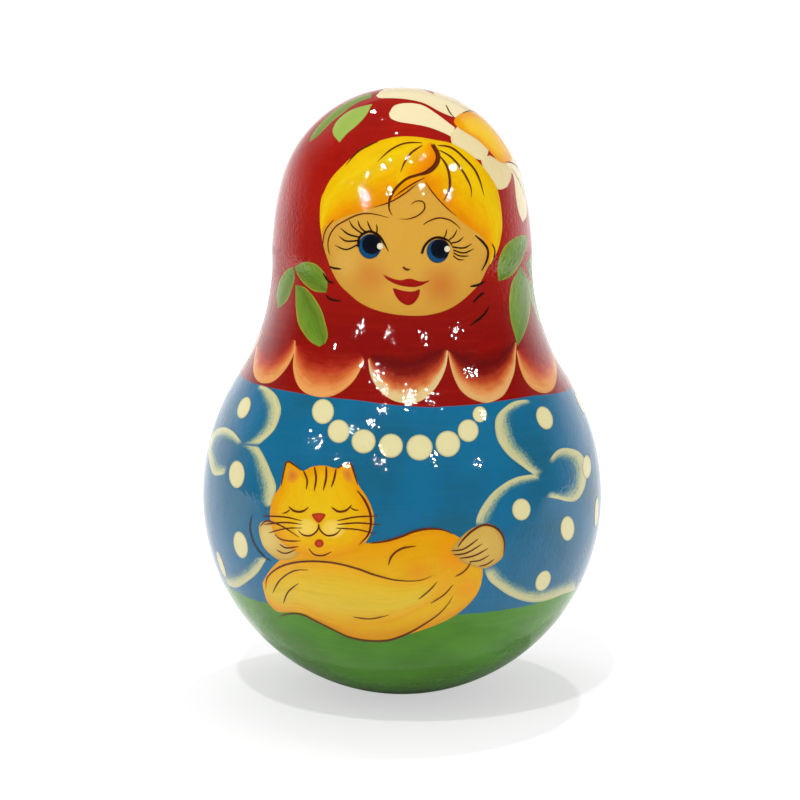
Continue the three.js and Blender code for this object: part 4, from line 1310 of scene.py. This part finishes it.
def paint(name, stops, fade=None, ragged=0.08, streak=0.14, dry=0.0, grain=0.0, ends=0.0,
          pale=None, soft=None, cover=1.0, touches=()):
    """One paint. Its colour runs through the stops, from 0 at a patch's first side to 1 at its last.

    fade is where it goes over into the ground. dry and grain roughen that border by bristle and by
    speck, and ends fades a stroke's two ends as well. pale is a colour and a width: patches of
    high tone are edged with it. soft gives how far the paint thins out from its first side, to its
    last side and at its two ends, and cover how dense it is. touches are soft spots of another
    colour: a picture place, a reach in millimetres, the colour and its share.
    """
    made, tree, face = lacquered(name)
    place = add(tree, "ShaderNodeUVMap", uv_map="place").outputs[0]
    along = add(tree, "ShaderNodeSeparateXYZ", {0: place}).outputs["X"]
    tone = add(tree, "ShaderNodeAttribute", attribute_name="tone").outputs["Fac"]
    across, bristle = use(tree, brush_marks, {"Place": place, "Tone": tone, "Ragged": ragged})
    ramp = add(tree, "ShaderNodeValToRGB", {0: across})
    marks = ramp.color_ramp.elements
    while len(marks) < len(stops):
        marks.new(0.5)
    for mark, (where, colour) in zip(marks, stops):
        mark.position = where
        mark.color = shade(*colour)
    colour = use(tree, worn_colour, {
        "Color": ramp.outputs[0], "Bristle": bristle, "Streak": streak})[0]
    if pale:
        near = sums(tree, "SUBTRACT", 1.0, step(tree, across, pale[1] * 0.4, pale[1]))
        colour = mixed(tree, sums(tree, "MULTIPLY", near, step(tree, tone, 0.4, 1.0)), colour,
                       shade(*pale[0]))
    if fade:
        gone = use(tree, dry_fade, {"Across": across, "Bristle": bristle, "From": fade[0],
                                    "To": fade[1], "Dry": dry, "Grain": grain})[0]
        for end in (0.0, 1.0) if ends else ():
            gone = sums(tree, "MAXIMUM", gone, step(tree, along, abs(end - ends), end))
        colour = mixed(tree, gone, colour, use(tree, ground_paint, {"Streaks": 1.0})[0])
    for where, reach, other, share in touches:
        colour = use(tree, soft_dab, {
            "Color": colour, "Other": shade(*other), "Middle": tuple(seen([where])[0] * MM),
            "Reach": reach * MM, "Share": share})[0]
    tree.links.new(colour, face.inputs["Base Color"])
    if soft:
        first, last, tips = soft
        thick = use(tree, thin_edges, {"Across": across, "Along": along, "First": first,
                                       "Last": last, "Ends": tips, "Cover": cover})[0]
        tree.links.new(thick, face.inputs["Alpha"])
    PAINTS[name] = made


print("the bump of the ripple is", RIPPLE / MM, "mm")

# %% [markdown]
# Skin and hair are shaded from one colour to the next while they are wet. The cheeks get their blush
# as two soft dabs, and the lines are thin enough to let a little of the coat below through.

# %% Paints of the face
# The third, paler dab is painted light: it brightens the left of the face, the side the lamps come
# from.
paint("face_skin", [(0, (226, 170, 62)), (0.75, (224, 168, 66)), (1, (212, 156, 58))],
      streak=0.03, ragged=0.03,
      touches=(((369.5, 277), 6.2, (208, 118, 46), 0.62),
               ((441, 285.5), 6.6, (204, 106, 40), 0.7),
               ((344, 262), 5.0, (226, 180, 84), 0.6)))
paint("hair", [(0, (240, 188, 2)), (0.3, (246, 204, 12)), (0.58, (246, 188, 2)),
               (0.8, (246, 164, 0)), (1, (240, 146, 0))], streak=0.12, ragged=0.2)
paint("hair_lobe", [(0, (246, 194, 6)), (0.25, (248, 190, 4)), (0.7, (247, 150, 0)),
                    (1, (240, 124, 0))], streak=0.12, ragged=0.1)
paint("brown_line", [(0, (96, 38, 10)), (1, (112, 48, 14))], streak=0.2,
      soft=(0.14, 0.14, 0.06), cover=0.93)
paint("dark_line", [(0, (30, 14, 8)), (1, (48, 22, 10))], streak=0.2,
      soft=(0.12, 0.12, 0.04), cover=0.95)
paint("shade_line", [(0, (30, 44, 60)), (1, (36, 52, 64))], streak=0.2,
      soft=(0.3, 0.3, 0.15), cover=0.8)
paint("eye_blue", [(0, (12, 62, 108)), (0.75, (20, 80, 126)), (1, (14, 48, 84))],
      streak=0.12, ragged=0.03, soft=(0.0, 0.1, 0.0))
paint("eye_dark", [(0, (8, 8, 12)), (1, (12, 20, 36))], streak=0.0, ragged=0.03,
      soft=(0.0, 0.16, 0.0))
paint("eye_point", [(0, (240, 236, 214)), (1, (230, 224, 196))], streak=0.0)
paint("lip_red", [(0, (172, 24, 18)), (1, (150, 20, 16))], streak=0.1)
print(len(PAINTS), "paints for the face")

# %% [markdown]
# The ornament is painted fast with a loaded brush. So petals and leaves show their streaks, scallops
# and sleeves run dry, and the dots have a darker ring where the paint dries last.

# %% Paints of the ornament
paint("cream_dot", [(0, (232, 222, 168)), (0.82, (230, 220, 166)), (0.93, (204, 198, 144)),
                    (1, (140, 152, 128))], streak=0.04, ragged=0.015)
paint("petal", [(0, (228, 206, 148)), (0.2, (236, 216, 160)), (0.8, (232, 210, 152)),
                (1, (220, 192, 126))], streak=0.10, pale=((246, 230, 184), 6.0))
paint("daisy_heart", [(0, (254, 206, 10)), (0.6, (252, 196, 6)), (1, (242, 150, 0))], streak=0.1)
paint("leaf", [(0, (168, 166, 60)), (0.07, (124, 150, 50)), (0.3, (112, 148, 46)),
               (0.7, (98, 128, 38)), (0.94, (120, 142, 44)), (1, (170, 166, 60))],
      streak=0.34, ragged=0.05, pale=((164, 190, 88), 6.0))
paint("scallop_edge", [(0, (224, 150, 80)), (0.05, (236, 166, 94)), (0.18, (232, 152, 84)),
                       (0.32, (216, 112, 58)), (0.46, (190, 66, 38)), (0.62, (168, 38, 24)),
                       (1, (160, 30, 18))],
      fade=(0.45, 0.95), dry=0.45, streak=0.2, pale=((230, 190, 126), 0.2), ragged=0.10)
paint("scallop_dark", [(0, (226, 160, 92)), (0.05, (230, 170, 100)), (0.2, (226, 140, 76)),
                       (0.36, (188, 72, 40)), (0.52, (134, 28, 20)), (0.68, (104, 16, 16)),
                       (1, (112, 16, 14))],
      fade=(0.6, 1.0), dry=0.45, streak=0.2, pale=((226, 196, 136), 0.26), ragged=0.10)
paint("sleeve_edge", [(0, (190, 192, 142)), (0.12, (214, 208, 154)), (0.34, (196, 196, 150)),
                      (0.55, (136, 164, 140)), (0.78, (60, 112, 130)), (1, (24, 88, 116))],
      fade=(0.3, 0.95), dry=0.9, grain=0.6, streak=0.2, ends=0.07)
print(len(PAINTS), "paints")

# %% [markdown]
# The hands are a paler skin. The fur goes from yellow to orange where the body turns away or meets
# the tail, first by its stops and then by soft dabs, as a second wash of orange would.

# %% Paints of the hands and the cat
paint("hand_skin", [(0, (222, 184, 92)), (0.8, (214, 174, 82)), (1, (196, 150, 62))],
      streak=0.08, touches=(((266, 538), 5.5, (230, 204, 122), 0.8),))
paint("cat_fur", [(0, (236, 158, 0)), (0.3, (232, 174, 0)), (0.8, (234, 180, 8)),
                  (1, (230, 150, 0))], streak=0.12,
      touches=(((455, 556), 7.0, (240, 146, 0), 0.8),
               ((468, 590), 5.5, (238, 152, 0), 0.7),
               ((418, 571), 4.5, (236, 142, 4), 0.6)))
paint("cat_tail", [(0, (240, 172, 6)), (0.3, (232, 190, 34)), (0.65, (230, 194, 50)),
                   (1, (238, 168, 4))], streak=0.14,
      touches=(((452, 580), 9.0, (234, 166, 2), 1.0),))
paint("cat_head", [(0, (240, 196, 22)), (0.7, (240, 184, 12)), (1, (236, 154, 2))], streak=0.10)
paint("cat_ear", [(0, (214, 120, 40)), (1, (236, 160, 40))], streak=0.1)
paint("cat_cheek", [(0, (248, 214, 96)), (0.7, (246, 206, 78)), (1, (240, 190, 46))], streak=0.06)
paint("cat_nose", [(0, (200, 66, 26)), (1, (176, 52, 22))], streak=0.06)
print(len(PAINTS), "paints in all")

# %% [markdown]
# Outside, the shells carry the ground coat under lacquer. Inside they are bare lime wood as the
# turning tool left it: pale, with faint rings, short fibres and shallow grooves round the axis. The
# rings and grooves are wave textures that read the place on the doll, so both halves match.

# %% Wood
WOOD_ROUGH, GROOVE = 0.62, 0.00006
coat, tree, face = lacquered("ground_coat")
tree.links.new(use(tree, ground_paint, {"Streaks": 1.0})[0], face.inputs["Base Color"])

wood = bpy.data.materials.new("bare_lime_wood")
wood.use_nodes = True
tree = wood.node_tree
face = tree.nodes["Principled BSDF"]
rings = add(tree, "ShaderNodeTexWave", {
    "Vector": stretched(tree, 1, 1, 0.12), "Scale": 0.10, "Distortion": 3.0, "Detail": 3.0,
    "Detail Scale": 0.6}, wave_type="RINGS", rings_direction="Z").outputs[1]
fibre = noise(tree, stretched(tree, 1.6, 1.6, 0.10), 1.0, 4.0, 0.65)
grooves = add(tree, "ShaderNodeTexWave", {
    "Vector": stretched(tree, 0.02, 0.02, 1), "Scale": 0.42, "Distortion": 0.6},
    bands_direction="Z").outputs[1]
pale = mixed(tree, rings, shade(222, 190, 142), shade(196, 158, 108))
pale = mixed(tree, sums(tree, "MULTIPLY", step(tree, fibre, 0.5, 0.75), 0.5), pale,
             shade(170, 130, 84))
tree.links.new(pale, face.inputs["Base Color"])
face.inputs["Roughness"].default_value = WOOD_ROUGH
bump = add(tree, "ShaderNodeBump", {
    "Height": sums(tree, "MULTIPLY_ADD", fibre, 0.6, grooves), "Distance": GROOVE})
tree.links.new(bump.outputs[0], face.inputs["Normal"])
for made in (lower_shell, upper_shell):
    made.data.materials.append(coat)
    made.data.materials.append(wood)
print("shells in", coat.name, "and", wood.name)

# %% [markdown]
# The chime keeps its CAD shapes. Its rods and plate are drawn steel, with fine streaks along them,
# the hammers are turned brass, the ballast is rough iron, and the screws are blued.

# %% Metals
TOOL_MARK = 0.00003


def metal(name, colour, other, rough, size, pitted=0.0):
    """A bare metal: two close colours in drawn streaks, with tool marks or pits in its face."""
    made = bpy.data.materials.new(name)
    made.use_nodes = True
    tree = made.node_tree
    face = tree.nodes["Principled BSDF"]
    drawn = noise(tree, stretched(tree, 1, 1, 0.08), size, 4.0, 0.6)
    grain = noise(tree, stretched(tree, 1, 1, 1), 3.0, 4.0, 0.7)
    tree.links.new(mixed(tree, drawn, (*colour, 1), (*other, 1)), face.inputs["Base Color"])
    tree.links.new(sums(tree, "MULTIPLY_ADD", drawn, 0.16, rough), face.inputs["Roughness"])
    face.inputs["Metallic"].default_value = 1.0
    bump = add(tree, "ShaderNodeBump", {
        "Height": sums(tree, "MULTIPLY_ADD", grain, pitted, sums(tree, "MULTIPLY", drawn, 0.4)),
        "Distance": TOOL_MARK})
    tree.links.new(bump.outputs[0], face.inputs["Normal"])
    return made


steel = metal("drawn_steel", (0.66, 0.68, 0.70), (0.54, 0.55, 0.57), 0.28, 3.0)
brass = metal("turned_brass", (0.66, 0.42, 0.13), (0.56, 0.33, 0.09), 0.2, 2.0)
iron = metal("cast_iron", (0.075, 0.075, 0.08), (0.045, 0.04, 0.04), 0.5, 0.5, 3.0)
blued = metal("blued_screw", (0.12, 0.13, 0.16), (0.08, 0.09, 0.12), 0.28, 2.0)
for name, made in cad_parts.items():
    if name in ("lower_shell", "upper_shell"):
        continue
    finish = steel
    if name.startswith("hammer_head"):
        finish = brass
    if name == "ballast":
        finish = iron
    if name.startswith("base_screw") or name in ("carrier_nut", "carrier_washer"):
        finish = blued
    made.data.materials.clear()
    made.data.materials.append(finish)
print("metals on", len(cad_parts) - 2, "nodes")

# %% [markdown]
# Each paint's skins become one piece. The upper half lifts off, so a paint that runs over the joint
# has to part there, as real paint would. It is cut at the seam's height, each cut is closed, and
# each side of it moves with its own half.

# %% Cutting at the seam


def cut_at_seam(made, keep_upper):
    """Cuts a piece at the seam's height, keeps one side and closes the cut."""
    work = bmesh.new()
    work.from_mesh(made.data)
    parts = work.verts[:] + work.edges[:] + work.faces[:]
    bmesh.ops.bisect_plane(work, geom=parts, dist=1e-7, plane_co=(0, 0, SEAM * MM),
                           plane_no=(0, 0, 1), clear_inner=keep_upper, clear_outer=not keep_upper)
    open_edges = [e for e in work.edges if e.is_boundary]
    bmesh.ops.holes_fill(work, edges=open_edges, sides=0)
    work.to_mesh(made.data)
    work.free()


def true_normals(made):
    """Gives each corner of a skin the direction of the doll's own surface."""
    spots = np.empty(len(made.data.vertices) * 3)
    made.data.vertices.foreach_get("co", spots)
    made.data.normals_split_custom_set_from_vertices(directions(spots.reshape(-1, 3) / MM))


print("paint is cut at", SEAM, "mm")

# %% [markdown]
# Last, the arrays of each paint are stacked and become objects. Every corner gets the direction of
# the doll's own surface, so that a reflection runs over wood and paint without a step.

# %% The painted pieces
for name, skins in SKINS.items():
    counts = np.cumsum([0] + [len(s[0]) for s in skins])[:-1]
    verts = np.vstack([s[0] for s in skins])
    faces = np.vstack([np.where(s[1] < 0, -1, s[1] + n) for s, n in zip(skins, counts)])
    places = np.concatenate([s[2] for s in skins])
    tones = np.concatenate([s[3] for s in skins])
    sides = [True] * (verts[:, 2].max() > SEAM) + [False] * (verts[:, 2].min() < SEAM)
    for upper in sides:
        made = object_from(name + ("_upper" if upper else "_lower"), verts, faces, places, tones)
        if len(sides) > 1:
            cut_at_seam(made, upper)
        true_normals(made)
        made.data.materials.append(PAINTS[name])
        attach(made, "upper" if upper else "lower")
        print(made.name, len(made.data.polygons), "faces")
